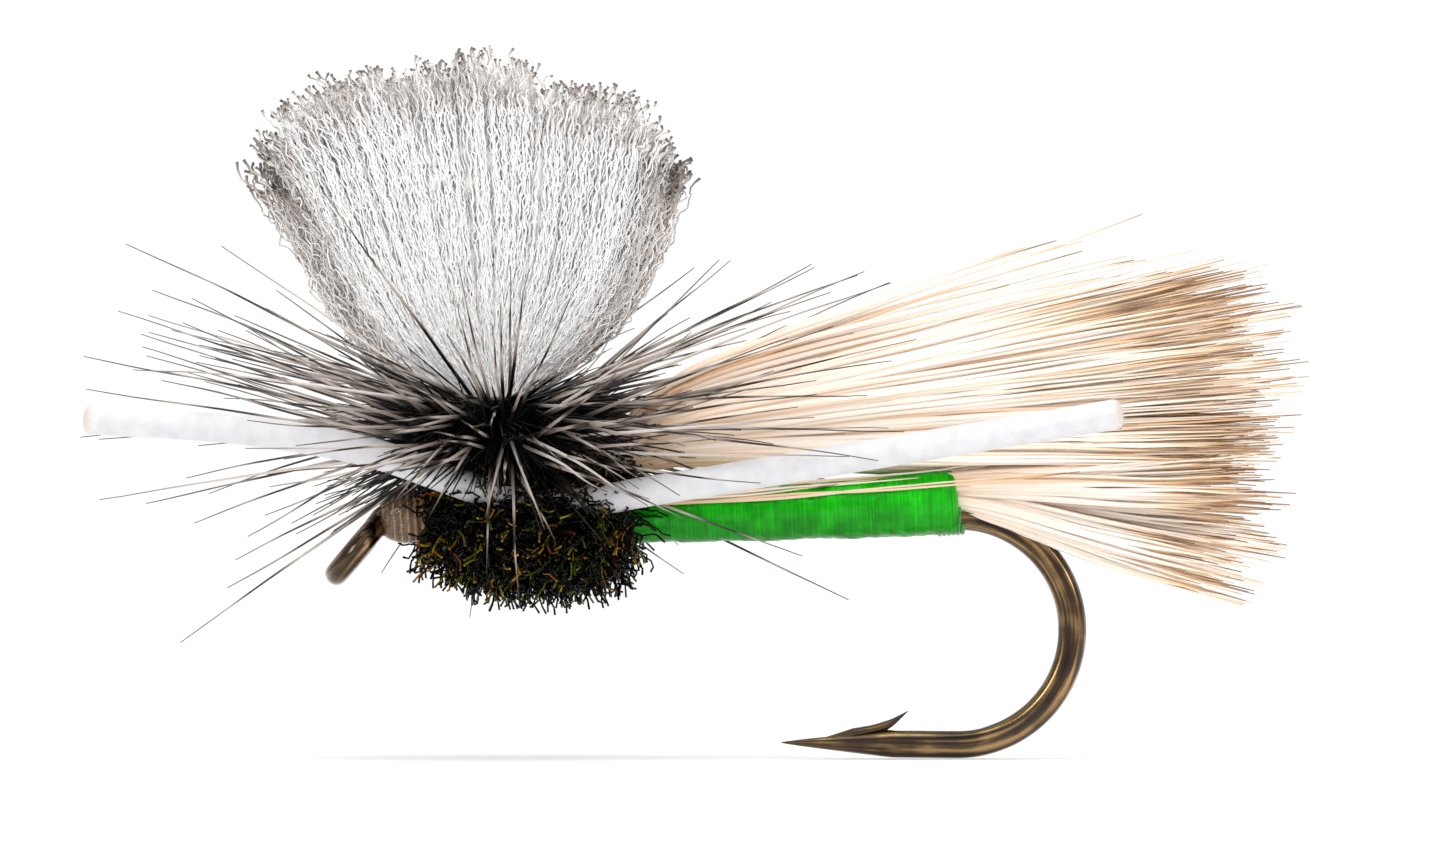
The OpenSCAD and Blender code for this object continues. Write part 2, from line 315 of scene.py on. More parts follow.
def new_finish(name, **plain):
    """A material with its plain values set on the shader's own sockets."""
    finish = bpy.data.materials.new(name)
    finish.use_nodes = True
    shader = finish.node_tree.nodes["Principled BSDF"]
    for key, value in plain.items():
        shader.inputs[key.replace("_", " ")].default_value = value
    print("finish:", name)
    return finish, finish.node_tree, shader


def plug(shader, **sources):
    """Links nodes, or chosen sockets of nodes, into the shader's sockets."""
    for key, source in sources.items():
        if isinstance(source, bpy.types.Node):
            source = source.outputs[0]
        shader.id_data.links.new(source, shader.inputs[key.replace("_", " ")])


def grained(name, size, stops, bump, detail=2.0, distortion=0.0, **plain):
    """A finish whose colour and bump follow one noise of a size in mm. bump is its strength and its depth."""
    finish, tree, shader = new_finish(name, **plain)
    sizes = {"Scale": 1 / (size * MM), "Detail": detail, "Distortion": distortion}
    place = add(tree, "ShaderNodeTexCoord").outputs["Object"]
    noise = add(tree, "ShaderNodeTexNoise", {"Vector": place, **sizes})
    colour = add(tree, "ShaderNodeValToRGB", {"Fac": noise}, stops=stops)
    dents = add(tree, "ShaderNodeBump", {"Height": noise, "Strength": bump[0], "Distance": bump[1] * MM})
    plug(shader, Base_Color=colour, Normal=dents)
    return finish


print("lime green in linear colour:", [round(part, 3) for part in linear("#20dc0e")])

# %% [markdown]
# ## Strands
#
# Hair, yarn and herl all repeat one thing: a thin tapered strand. Two Geometry Nodes trees grow them.
# *Bundle* copies a guide line many times and sets each copy off across the guide, inside a width that the
# guide carries as two attributes, so a bundle can be tight at its tie and open at its tips. *Feather* sets
# short barbs on a wound stem, each leaning its own way. Both end in the same steps: even points, a little
# wander, a taper, a skin, and two attributes for the material, `along` (0 at the root, 1 at the tip) and
# `pick` (one random number for each strand).

# %% Sizes of strands
SIZES = {
    "Strands": "NodeSocketInt",
    "Points": "NodeSocketInt",
    "Sides": "NodeSocketInt",
    "Seed": "NodeSocketInt",
    "Root radius": "NodeSocketFloat",
    "Tip radius": "NodeSocketFloat",
    "Taper": "NodeSocketFloat",
    "Uneven ends": "NodeSocketFloat",
    "Wander": "NodeSocketFloat",
    "Wander scale": "NodeSocketFloat",
    "Wander at root": "NodeSocketFloat",
    "Finish": "NodeSocketMaterial",
}
FEATHER_SIZES = {
    "Length": "NodeSocketFloat",
    "Shortest": "NodeSocketFloat",
    "Lean": "NodeSocketVector",
    "Lift": "NodeSocketVector",
    "Curl": "NodeSocketFloat",
}
SAG = (-1.0, 0.35)  # most barbs droop, and a few rise
OFF_SCALE = (9.1, 7.3, 5.7)  # metres: moves each strand to its own place in the noise


def new_tree(name, sizes):
    """An empty tree with its inputs named, and the sockets that give them."""
    tree = bpy.data.node_groups.new(name, "GeometryNodeTree")
    tree.interface.new_socket("Geometry", in_out="INPUT", socket_type="NodeSocketGeometry")
    for label, kind in sizes.items():
        tree.interface.new_socket(label, in_out="INPUT", socket_type=kind)
    tree.interface.new_socket("Geometry", in_out="OUTPUT", socket_type="NodeSocketGeometry")
    return tree, add(tree, "NodeGroupInput").outputs


def random_value(tree, given, low, high, shift, which):
    """What a random number for each strand needs: Min and Max are sockets 2 and 3, ID is 7 and Seed is 8."""
    seed = add(tree, "ShaderNodeMath", {0: given["Seed"], 1: float(shift)}, operation="ADD")
    return {2: low, 3: high, 7: which, 8: seed}


print("a strand has", len(SIZES), "sizes, and", len(FEATHER_SIZES), "more on a feather")

# %% [markdown]
# The bundle tree is for hair and yarn, whose strands run side by side. Hair particles could grow them too,
# but the tree shows each step, and its result is a mesh that can be coloured and exported.

# %% The bundle tree
def strands_to_skin(tree, given, curves):
    """The shared end of both trees."""
    even = add(tree, "GeometryNodeResampleCurve", {"Curve": curves, "Count": given["Points"]})
    strand = add(tree, "GeometryNodeCurveOfPoint").outputs["Curve Index"]
    pick = add(tree, "FunctionNodeRandomValue", random_value(tree, given, 0.0, 1.0, 1, strand))
    along = add(tree, "GeometryNodeSplineParameter").outputs["Factor"]
    own = add(tree, "ShaderNodeVectorMath", {0: OFF_SCALE, "Scale": pick.outputs[1]}, operation="SCALE")
    place = add(
        tree, "ShaderNodeVectorMath", {0: add(tree, "GeometryNodeInputPosition"), 1: own}, operation="ADD"
    )
    noise = add(tree, "ShaderNodeTexNoise", {"Vector": place, "Scale": given["Wander scale"], "Detail": 1.0})
    swing = add(
        tree, "ShaderNodeVectorMath", {0: noise.outputs["Color"], 1: (0.5, 0.5, 0.5)}, operation="SUBTRACT"
    )
    free = add(tree, "ShaderNodeMapRange", {"Value": along, "To Min": given["Wander at root"], "To Max": 1.0})
    reach = add(tree, "ShaderNodeMath", {0: given["Wander"], 1: free}, operation="MULTIPLY")
    shift = add(tree, "ShaderNodeVectorMath", {0: swing, "Scale": reach}, operation="SCALE")
    moved = add(tree, "GeometryNodeSetPosition", {"Geometry": even, "Offset": shift})
    told = add(tree, "GeometryNodeStoreNamedAttribute", {"Geometry": moved, "Name": "along", "Value": along})
    told = add(
        tree, "GeometryNodeStoreNamedAttribute", {"Geometry": told, "Name": "pick", "Value": pick.outputs[1]}
    )
    taper = add(tree, "ShaderNodeMath", {0: along, 1: given["Taper"]}, operation="POWER")
    thick = add(tree, "ShaderNodeMapRange", {"Value": taper, 3: given["Root radius"], 4: given["Tip radius"]})
    ring = add(tree, "GeometryNodeCurvePrimitiveCircle", {"Resolution": given["Sides"], "Radius": 1.0})
    tube = add(
        tree,
        "GeometryNodeCurveToMesh",
        {"Curve": told, "Profile Curve": ring, "Scale": thick, "Fill Caps": True},
    )
    smooth = add(tree, "GeometryNodeSetShadeSmooth", {"Geometry": tube})
    real = add(tree, "GeometryNodeRealizeInstances", {"Geometry": smooth})
    done = add(tree, "GeometryNodeSetMaterial", {"Geometry": real, "Material": given["Finish"]})
    add(tree, "NodeGroupOutput", {0: done})


def bundle_tree():
    """Copies of guide lines, spread inside the widths across and up that the guides carry."""
    tree, given = new_tree("Bundle of strands", SIZES)
    guides = add(tree, "GeometryNodeMeshToCurve", {0: given["Geometry"]})
    copies = add(
        tree,
        "GeometryNodeDuplicateElements",
        {"Geometry": guides, "Amount": given["Strands"]},
        domain="SPLINE",
    )
    strand = add(tree, "GeometryNodeCurveOfPoint").outputs["Curve Index"]
    angle = add(tree, "FunctionNodeRandomValue", random_value(tree, given, 0.0, 2 * math.pi, 2, strand))
    share = add(tree, "FunctionNodeRandomValue", random_value(tree, given, 0.0, 1.0, 3, strand))
    out = add(tree, "ShaderNodeMath", {0: share.outputs[1]}, operation="SQRT")
    offset = None
    for field, turn in (("across", "COSINE"), ("up", "SINE")):
        wave = add(tree, "ShaderNodeMath", {0: angle.outputs[1]}, operation=turn)
        part = add(tree, "ShaderNodeMath", {0: wave, 1: out}, operation="MULTIPLY")
        width = add(tree, "GeometryNodeInputNamedAttribute", {"Name": field}, data_type="FLOAT_VECTOR")
        scaled = add(tree, "ShaderNodeVectorMath", {0: width, "Scale": part}, operation="SCALE")
        offset = scaled if offset is None else add(
            tree, "ShaderNodeVectorMath", {0: offset, 1: scaled}, operation="ADD"
        )
    spread = add(tree, "GeometryNodeSetPosition", {"Geometry": copies, "Offset": offset})
    index = add(tree, "GeometryNodeInputIndex")
    short = add(
        tree, "FunctionNodeRandomValue", random_value(tree, given, 0.0, given["Uneven ends"], 4, index)
    )
    end = add(tree, "ShaderNodeMath", {0: 1.0, 1: short.outputs[1]}, operation="SUBTRACT")
    strands_to_skin(tree, given, add(tree, "GeometryNodeTrimCurve", {"Curve": spread, 3: end}))
    return tree


BUNDLE = bundle_tree()
print("tree:", BUNDLE.name)

# %% [markdown]
# The feather tree is for hackle and herl, whose barbs stand out of a stem. Each barb starts as one straight
# line set on the stem and turned outwards. A random share of droop or rise then bends it.

# %% The feather tree
def feather_tree():
    """Barbs on a stem, along the direction out that the stem carries, with a lean and a lift of their own."""
    tree, given = new_tree("Feather on a stem", {**SIZES, **FEATHER_SIZES})
    stem = add(tree, "GeometryNodeMeshToCurve", {0: given["Geometry"]})
    seats = add(tree, "GeometryNodeResampleCurve", {"Curve": stem, "Count": given["Strands"]})
    points = add(tree, "GeometryNodeCurveToPoints", {"Curve": seats}, mode="EVALUATED")
    barb = add(tree, "GeometryNodeCurvePrimitiveLine", {"Start": (0, 0, 0), "End": (1, 0, 0)})
    index = add(tree, "GeometryNodeInputIndex")
    ways = []
    for axis, shift in enumerate((5, 6, 7)):
        ways.append(add(tree, "FunctionNodeRandomValue", random_value(tree, given, -1.0, 1.0, shift, index)))
    loose = add(tree, "ShaderNodeCombineXYZ", {axis: way.outputs[1] for axis, way in enumerate(ways)})
    leaning = add(tree, "ShaderNodeVectorMath", {0: loose, 1: given["Lean"]}, operation="MULTIPLY")
    lifted = add(tree, "ShaderNodeVectorMath", {0: leaning, 1: given["Lift"]}, operation="ADD")
    out = add(tree, "GeometryNodeInputNamedAttribute", {"Name": "out"}, data_type="FLOAT_VECTOR")
    way = add(tree, "ShaderNodeVectorMath", {0: out, "Scale": 1 / MM}, operation="SCALE")
    aim = add(tree, "ShaderNodeVectorMath", {0: way, 1: lifted}, operation="ADD")
    turn = add(
        tree, "FunctionNodeAxesToRotation", {0: aim, 1: (0, 0, 1)}, primary_axis="X", secondary_axis="Z"
    )
    length = add(
        tree,
        "FunctionNodeRandomValue",
        random_value(tree, given, given["Shortest"], given["Length"], 8, index),
    )
    set_on = add(
        tree,
        "GeometryNodeInstanceOnPoints",
        {"Points": points, "Instance": barb, "Rotation": turn, "Scale": length.outputs[1]},
    )
    real = add(tree, "GeometryNodeRealizeInstances", {"Geometry": set_on})
    fine = add(tree, "GeometryNodeResampleCurve", {"Curve": real, "Count": given["Points"]})
    along = add(tree, "GeometryNodeSplineParameter")
    bend = add(tree, "ShaderNodeMath", {0: along.outputs["Factor"], 1: 2.0}, operation="POWER")
    strand = add(tree, "GeometryNodeCurveOfPoint").outputs["Curve Index"]
    sag = add(tree, "FunctionNodeRandomValue", random_value(tree, given, *SAG, 9, strand))
    amount = add(tree, "ShaderNodeMath", {0: sag.outputs[1], 1: given["Curl"]}, operation="MULTIPLY")
    drop = add(tree, "ShaderNodeMath", {0: amount, 1: bend}, operation="MULTIPLY")
    fall = add(tree, "ShaderNodeCombineXYZ", {"Z": drop})
    strands_to_skin(tree, given, add(tree, "GeometryNodeSetPosition", {"Geometry": fine, "Offset": fall}))
    return tree


FEATHER = feather_tree()
print("tree:", FEATHER.name)

# %% [markdown]
# A grown piece is turned into a plain mesh as soon as it is made. `grow` sets the tree's inputs by their
# identifiers, evaluates the modifier once, keeps the result and throws the guides away. `seat` then says
# which body the piece rides on and which CAD solid it stands for.

# %% Growing and seating a piece
def grow(name, guides, tree, finish, **sizes):
    """The strands that a tree grows on guides, as a mesh. Sizes have the tree's names, with _ for a space."""
    modifier = guides.modifiers.new("Strands", "NODES")
    modifier.node_group = tree
    values = {"Finish": finish, **{key.replace("_", " "): value for key, value in sizes.items()}}
    for item in tree.interface.items_tree:
        if item.in_out == "INPUT" and item.name in values:
            modifier[item.identifier] = values[item.name]
    shown = guides.evaluated_get(bpy.context.evaluated_depsgraph_get())
    mesh = bpy.data.meshes.new_from_object(shown)
    mesh.name = name
    bpy.data.objects.remove(guides)
    return new_object(name, mesh)


def seat(piece, body, slot, *nodes):
    """Says which body a piece rides on and the CAD nodes that it stands for; its finish slot is not used."""
    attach(piece, body)
    if nodes:
        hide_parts(*nodes)
    piece.data.calc_loop_triangles()
    print(piece.name, "has", len(piece.data.loop_triangles), "triangles")


print("pieces grow by", BUNDLE.name.lower(), "or", FEATHER.name.lower())

# %% [markdown]
# ## The hook's wire
#
# A hook is high-carbon wire, bronzed by heat and lacquered, so it looks dark brown with sharp gold lights.
# The maker rolls one end into an eye, bends the other, presses the bend between flat dies, grinds the point
# and cuts a barb up from it. The wire is one skin on one path: the open ring of the eye, the neck, the shank,
# the half circle of the bend and the spear. Its section is round, but flat on both sides where the dies
# pressed it.

# %% Bronzed wire
def bronzed_wire():
    """Dark brown metal under clear lacquer; it mostly mirrors the room, drawn out along the wire."""
    finish, tree, shader = new_finish(
        "bronzed high-carbon steel wire", Metallic=1.0, Roughness=0.24, Coat_Weight=0.6, Coat_Roughness=0.06
    )
    where = add(tree, "ShaderNodeUVMap", uv_map="along_and_round")
    # drawing the wire through a die leaves fine lines along it, about 0.17 mm apart
    lines = add(tree, "ShaderNodeMapping", {"Vector": where, "Scale": (0.25, 14.0, 1.0)})
    drawn = add(tree, "ShaderNodeTexNoise", {"Vector": lines, "Scale": 1.0, "Detail": 3.0})
    place = add(tree, "ShaderNodeTexCoord").outputs["Object"]
    # heat bronzing comes out in soft clouds about 0.8 mm across
    clouds = add(tree, "ShaderNodeTexNoise", {"Vector": place, "Scale": 1 / (0.8 * MM), "Detail": 2.0})
    both = add(tree, "ShaderNodeMix", {0: 0.75, 2: clouds.outputs[0], 3: drawn.outputs[0]})
    colour = add(
        tree,
        "ShaderNodeValToRGB",
        {"Fac": both},
        stops=[(0.36, "#1c130b"), (0.5, "#4a3620"), (0.62, "#a58355")],
    )
    rough = add(tree, "ShaderNodeMapRange", {"Value": drawn.outputs[0], 3: 0.12, 4: 0.3})
    # specks of lacquer grit about 0.06 mm across
    grit = add(tree, "ShaderNodeTexNoise", {"Vector": place, "Scale": 1 / (0.06 * MM), "Detail": 1.0})
    height = add(tree, "ShaderNodeMix", {0: 0.5, 2: drawn.outputs[0], 3: grit.outputs[0]})
    bump = add(tree, "ShaderNodeBump", {"Height": height, "Strength": 0.25, "Distance": 0.012 * MM})
    plug(shader, Base_Color=colour, Roughness=rough, Normal=bump)
    return finish


BRONZE = bronzed_wire()

# %% [markdown]
# The path of the wire is put together from the ring of the eye, its neck, the shank, a half circle and the
# spear. Separate tubes would be simpler, but a single skin leaves no seams where those parts meet.

# %% The hook
WIRE_R = 0.37
EYE_R = 0.785  # of the ring's centre line
EYE_WIRE_R = 0.305  # the wire is drawn thinner for the eye
CUT_R = 0.24  # of its cut end
NECK_R = 0.34
NECK_REACH = 1.22  # from the middle of the eye to the end of the neck
EYE_TURN = math.radians(50)
BEND_X = 15.85
BEND_R = 3.0
FLAT_HALF = 0.3  # half the thickness that the dies leave
POINT_X = 11.17
POINT_R = 0.008
TAPER = 2.95  # length of the ground point
SPEAR_RISE = 0.04  # the point is that much higher than the bottom of the bend


def eye_path():
    """The ring of the eye, from its cut end round to the neck."""
    ahead = np.array([math.cos(EYE_TURN), 0, math.sin(EYE_TURN)])
    side = np.array([0, 1.0, 0])
    turn = np.radians(np.linspace(33, 332, 72))[:, None]
    ring = EYE_R * (np.cos(turn) * ahead + np.sin(turn) * side)
    leave = -np.sin(turn[-1]) * ahead + np.cos(turn[-1]) * side
    neck_end = NECK_REACH * ahead
    t = np.linspace(0, 1, 14)[1:, None]
    a, b, c, d = ring[-1], ring[-1] + 0.22 * leave, neck_end - 0.22 * ahead, neck_end
    neck = (1 - t) ** 3 * a + 3 * (1 - t) ** 2 * t * b + 3 * (1 - t) * t**2 * c + t**3 * d
    return np.vstack([ring, neck[:-1]])


def hook_path():
    """The middle of the wire from the eye to the point."""
    bend_z = SHANK_Z - BEND_R
    corner = [[0.80, 0, 0.88], [0.98, 0, SHANK_Z]]
    shank = [[x, 0, SHANK_Z] for x in np.linspace(1.3, BEND_X - 0.3, 36)]
    arc = np.linspace(math.pi / 2, -math.pi / 2, 96)
    bend = np.column_stack([BEND_X + BEND_R * np.cos(arc), 0 * arc, bend_z + BEND_R * np.sin(arc)])
    spear_z = bend_z - BEND_R
    spear_x = np.linspace(BEND_X - 0.3, POINT_X, 60)
    spear = [[x, 0, spear_z + SPEAR_RISE * (BEND_X - x) / (BEND_X - POINT_X)] for x in spear_x]
    return np.vstack([eye_path(), corner, shank, bend, spear])


path = hook_path()
ring_count = len(eye_path())
radii = np.full(len(path), WIRE_R)
narrows = [0, 6, ring_count - 12, ring_count]
radii[:ring_count] = np.interp(np.arange(ring_count), narrows, [CUT_R, EYE_WIRE_R, EYE_WIRE_R, NECK_R])
on_spear = (path[:, 2] < SHANK_Z - 2 * BEND_R + 0.1) & (path[:, 0] < BEND_X)
to_point = np.clip((path[:, 0] - POINT_X) / TAPER, 0, 1)
radii[on_spear] = (POINT_R + (WIRE_R - POINT_R) * to_point**0.86)[on_spear]
rings = tube_rings(path, radii, sides=44)
pressed = np.clip((path[:, 0] - (BEND_X - 0.6)) / 1.2, 0, 1)[:, None]
flat = np.clip(rings[..., 1], -FLAT_HALF, FLAT_HALF)
rings[..., 1] += pressed * (flat - rings[..., 1])
hook = skin("hook_wire", rings, BRONZE)
seat(hook, "fly", "bronzed_steel", "hook")

# %% [markdown]
# The barb is a sliver raised from the top of the spear, its tip towards the bend.

# %% The barb
spear_top = SHANK_Z - 2 * BEND_R
rise = [(12.3, 0.13), (13.2, 0.3), (13.95, 0.49), (14.55, 0.88)]
sliver = smooth_path([[x, 0, spear_top + height] for x, height in rise], 30)
share = np.linspace(0, 1, 30)
thick = np.interp(share, [0, 0.35, 0.7, 1], [0.04, 0.15, 0.125, 0.006])
wide = np.interp(share, [0, 0.35, 0.7, 1], [0.1, 0.2, 0.14, 0.008])
rings = tube_rings(sliver, thick, sides=20)
rings[..., 1] *= (wide / thick)[:, None]
seat(skin("hook_barb", rings, BRONZE), "fly", "bronzed_steel")

# %% [markdown]
# ## Tying thread
#
# Thread holds everything. It is a fine waxed filament laid turn beside turn, and the eye sees it as small
# bright rounds with dark gaps. Each winding is one helix, worked out by a loop, and the bundle tree gives it
# a skin with a single strand.

# %% Thread
THREAD_R = 0.06
HEAD = (0.66, 1.95)  # where the head starts and ends


def thread(name, dark, light, roughness):
    """Waxed thread has a soft sheen. Its filaments are drawn as pale flecks 0.05 mm apart on dark ones."""
    wax = dict(Roughness=roughness, Sheen_Weight=0.25, Coat_Weight=0.3, Coat_Roughness=0.25)
    return grained(name, 0.05, [(0.35, dark), (0.62, light)], (0.4, 0.01), distortion=0.6, **wax)


BROWN_THREAD = thread("waxed brown tying thread", "#4a2f17", "#a8825a", 0.4)
BLACK_THREAD = thread("waxed black tying thread", "#0b0908", "#3a332c", 0.35)
GREEN_THREAD = thread("flat green tying thread", "#0c4a06", "#2f9a1c", 0.4)

# %% [markdown]
# A winding is a helix that moves on by one turn of thread each time round. A striped texture would be
# lighter, but its outline would be smooth, and that of real wraps is ridged.

# %% Windings
def helix(start, end, profile, pitch, points_per_turn=20, upright=False):
    """A winding round the shank, or round the post if upright. profile gives its radius from place 0 to 1."""
    turns = abs(end - start) / pitch
    share = np.linspace(0, 1, int(turns * points_per_turn))
    angle = share * turns * 2 * math.pi
    radius = profile(share)
    reach = start + (end - start) * share
    if upright:
        return np.column_stack([POST_X + radius * np.cos(angle), radius * np.sin(angle), reach])
    return np.column_stack([reach, radius * np.sin(angle), SHANK_Z + radius * np.cos(angle)])


def winding(name, lines, finish, radius=THREAD_R, wander=0.015):
    """One thick strand on each line, with its radius and its wander in mm."""
    nothing = [np.zeros_like(line) for line in lines]
    guides = line_mesh(name + "_path", lines, across=nothing, up=nothing)
    sizes = dict(Strands=1, Points=max(len(line) for line in lines), Sides=7, Seed=1, Taper=1.0)
    sizes.update(Root_radius=radius * MM, Tip_radius=radius * MM, Wander=wander * MM)
    return grow(name, guides, BUNDLE, finish, **sizes, Wander_scale=1 / (0.8 * MM), Wander_at_root=1.0)


def head_profile(share):
    """The head's radius: a small cone with its thick end at the back."""
    return 0.42 + 0.2 * np.sin(np.clip(share * 1.25, 0, 1) * math.pi * 0.62)


head = winding(
    "head_thread",
    [helix(*HEAD, head_profile, 0.115), helix(1.92, 0.9, lambda s: head_profile(1 - 0.8 * s) + 0.07, 0.19)],
    BROWN_THREAD,
)
seat(head, "fly", "brown_thread", "head_wraps", "thread_base")

# %% [markdown]
# Head cement is a drop of clear lacquer run over the last wraps. It fills the gaps between turns and shines,
# and the thread shows through it warm and tan.

# %% Head cement
# clear and slightly amber: the eye sees the thread through it, and a wet shine on top
CEMENT = grained(
    "clear head cement",
    0.35,
    [(0.3, "#d9b987"), (0.7, "#f5e3c4")],
    (0.3, 0.03),
    Roughness=0.08,
    IOR=1.46,
    Transmission_Weight=0.93,
)
drop_x = np.linspace(0.62, 1.8, 26)
drop = np.column_stack([drop_x, 0 * drop_x, np.full_like(drop_x, SHANK_Z)])
share = (drop_x - drop_x[0]) / (drop_x[-1] - drop_x[0])
round_off = np.sqrt(np.clip(1 - (2 * share - 1) ** 8, 0.02, 1))
rings = tube_rings(drop, (head_profile(share) + 0.1) * round_off, sides=40)
rings += ripples(rings, 0.7, 5)[..., None] * 0.008
seat(skin("cement_drop", rings, CEMENT), "fly", "head_cement", "head_cement")

# %% [markdown]
# ## Floss body
#
# The body is lime-green floss: hundreds of glossy filaments, wound as a flat ribbon over the butts of the
# tail, so it is thicker at the rear and lumpy where it goes over the butts. One skin has the lumps and the
# low helical ridge of each turn, and the finish draws the filaments and their sparkle.

# %% Floss
def floss():
    """Glossy green filaments side by side, with soft glints where they twist, and painted shade on the
    underside.
    """
    finish, tree, shader = new_finish(
        "twisted rayon floss", Roughness=0.3, Coat_Weight=0.25, Specular_IOR_Level=0.1, Coat_Roughness=0.06
    )
    where = add(tree, "ShaderNodeUVMap", uv_map="along_and_round")
    # filaments run round the body, drawn 0.04 mm apart so that they show
    laid = add(
        tree, "ShaderNodeMapping", {"Vector": where, "Rotation": (0, 0, 0.12), "Scale": (24.0, 3.0, 1.0)}
    )
    filaments = add(
        tree, "ShaderNodeTexNoise", {"Vector": laid, "Scale": 1.0, "Detail": 4.0, "Distortion": 0.5}
    )
    place = add(tree, "ShaderNodeTexCoord").outputs["Object"]
    lumps = add(tree, "ShaderNodeTexNoise", {"Vector": place, "Scale": 1 / (0.5 * MM), "Detail": 2.0})
    both = add(tree, "ShaderNodeMix", {0: 0.45, 2: filaments.outputs[0], 3: lumps.outputs[0]})
    colour = add(
        tree,
        "ShaderNodeValToRGB",
        {"Fac": both},
        stops=[(0.3, "#037a00"), (0.5, "#08ae02"), (0.7, "#20dc0e")],
    )
    # painted shade: the colour is multiplied darker towards the bottom of the body, standing in for the
    # shadow on its underside
    height = add(tree, "ShaderNodeSeparateXYZ", {"Vector": place})
    up = add(tree, "ShaderNodeMapRange", {"Value": height.outputs[2], 1: 0.1 * MM, 2: 1.7 * MM})
    depth = add(
        tree, "ShaderNodeValToRGB", {"Fac": up}, stops=[(0.0, "#7fa07a"), (0.45, "#c2d4c0"), (0.8, "#ffffff")]
    )
    mixed = add(tree, "ShaderNodeMix", {0: 1.0, 6: colour, 7: depth}, data_type="RGBA", blend_type="MULTIPLY")
    bump = add(tree, "ShaderNodeBump", {"Height": both, "Strength": 0.6, "Distance": 0.04 * MM})
    plug(shader, Base_Color=mixed.outputs[2], Normal=bump)
    return finish


FLOSS = floss()

# %% [markdown]
# The body is a cone that widens to the rear. Its lumps and the ridges of its turns could be a bump, but they
# show in the outline, so they are in the shape.

# %% The body
FLOSS_PITCH = 0.42


def body_shape(x):
    """Centre height and radius of the body at a place along the shank."""
    share = np.clip((x - body_low[0]) / (body_high[0] - body_low[0]), 0, 1)
    return 0.82 + 0.47 * share**1.2, 0.62 + 0.24 * share**1.1


body_x = np.concatenate([np.linspace(6.6, 15.72, 220), 15.72 + 0.14 * np.sin(np.linspace(0.2, 1.5, 10))])
centre, radius = body_shape(body_x)
rear = np.clip((15.88 - body_x) / 0.16, 0.02, 1)
line = np.column_stack([body_x, 0 * body_x, centre])
rings = tube_rings(line, radius * np.sqrt(1 - (1 - rear) ** 2), sides=72)
outward = rings - line[:, None]
turn = np.arctan2(outward[..., 1], outward[..., 2])
ridge = np.cos(rings[..., 0] / FLOSS_PITCH * 2 * math.pi - turn)
lump = 0.022 * ripples(rings * (0.7, 1, 1), 0.9, 3) + 0.012 * ripples(rings, 0.25, 4)
rings += outward * (0.009 * ridge + lump)[..., None]
seat(skin("floss_body", rings, FLOSS), "fly", "green_floss", "body_floss", "tail_tie_wraps")

tail_tie = winding("tail_tie_thread", [helix(15.3, 15.98, lambda s: 0.5 - 0.05 * s, 0.12)], GREEN_THREAD)
seat(tail_tie, "fly", "green_thread")

# %% [markdown]
# ## Elk hair
#
# The wing and the tail are elk hair. Each hair is hollow, thick and pale at its root, straw to caramel
# further out and dark at its fine tip. Bundled hair parts into tufts. So each bundle is a fan of guides from
# one tie, 24 for the wing and 14 for the tail, and the tree grows some thirty hairs on each.

# %% Elk hair
def elk():
    """Pale hollow hair with a waxy shine, darker at its tip; a few hairs in each bundle are tan all along."""
    finish, tree, shader = new_finish(
        "bleached elk hair", Roughness=0.42, Sheen_Weight=0.15, Coat_Weight=0.25, Coat_Roughness=0.3
    )
    along = add(tree, "ShaderNodeAttribute", attribute_name="along").outputs["Fac"]
    pick = add(tree, "ShaderNodeAttribute", attribute_name="pick").outputs["Fac"]
    # each hair turns dark at its own place, within a fifth of its length
    shift = add(tree, "ShaderNodeMapRange", {"Value": pick, 3: -0.12, 4: 0.1})
    place = add(tree, "ShaderNodeMath", {0: along, 1: shift}, operation="ADD")
    length = add(
        tree,
        "ShaderNodeValToRGB",
        {"Fac": place},
        stops=[
            (0.0, "#dfbd9a"),
            (0.3, "#f9e8d8"),
            (0.7, "#fff6ee"),
            (0.87, "#fbead6"),
            (0.95, "#e6c298"),
            (1.0, "#94704f"),
        ],
    )
    odd = add(tree, "ShaderNodeMath", {0: pick, 1: 7.0}, operation="MULTIPLY")
    odd = add(tree, "ShaderNodeMath", {0: odd}, operation="FRACT")
    tone = add(
        tree,
        "ShaderNodeValToRGB",
        {"Fac": odd},
        stops=[(0.0, "#e0b27e"), (0.12, "#faf0e4"), (0.3, "#ffffff"), (0.9, "#ffffff"), (1.0, "#efd2ae")],
    )
    mixed = add(tree, "ShaderNodeMix", {0: 0.8, 6: length, 7: tone}, data_type="RGBA", blend_type="MULTIPLY")
    # the scales of a hair show as a faint roughness, drawn about 0.12 mm across
    where = add(tree, "ShaderNodeTexCoord").outputs["Object"]
    scales = add(tree, "ShaderNodeTexNoise", {"Vector": where, "Scale": 1 / (0.12 * MM), "Detail": 1.0})
    bump = add(tree, "ShaderNodeBump", {"Height": scales, "Strength": 0.3, "Distance": 0.01 * MM})
    plug(shader, Base_Color=mixed.outputs[2], Normal=bump)
    return finish


ELK = elk()
HAIR = dict(Points=16, Sides=5, Root_radius=0.105 * MM, Tip_radius=0.013 * MM, Taper=1.6, Wander_at_root=0.1)


# %% [markdown]
# The tips of the tufts are spread over the end of the bundle by seeded draws. Single hairs spread evenly
# would look like a brush.

# %% Fans of tufts
TUFT_POINTS = 18
TIE_WIDTH = 0.16  # half the width of a tuft where it is tied


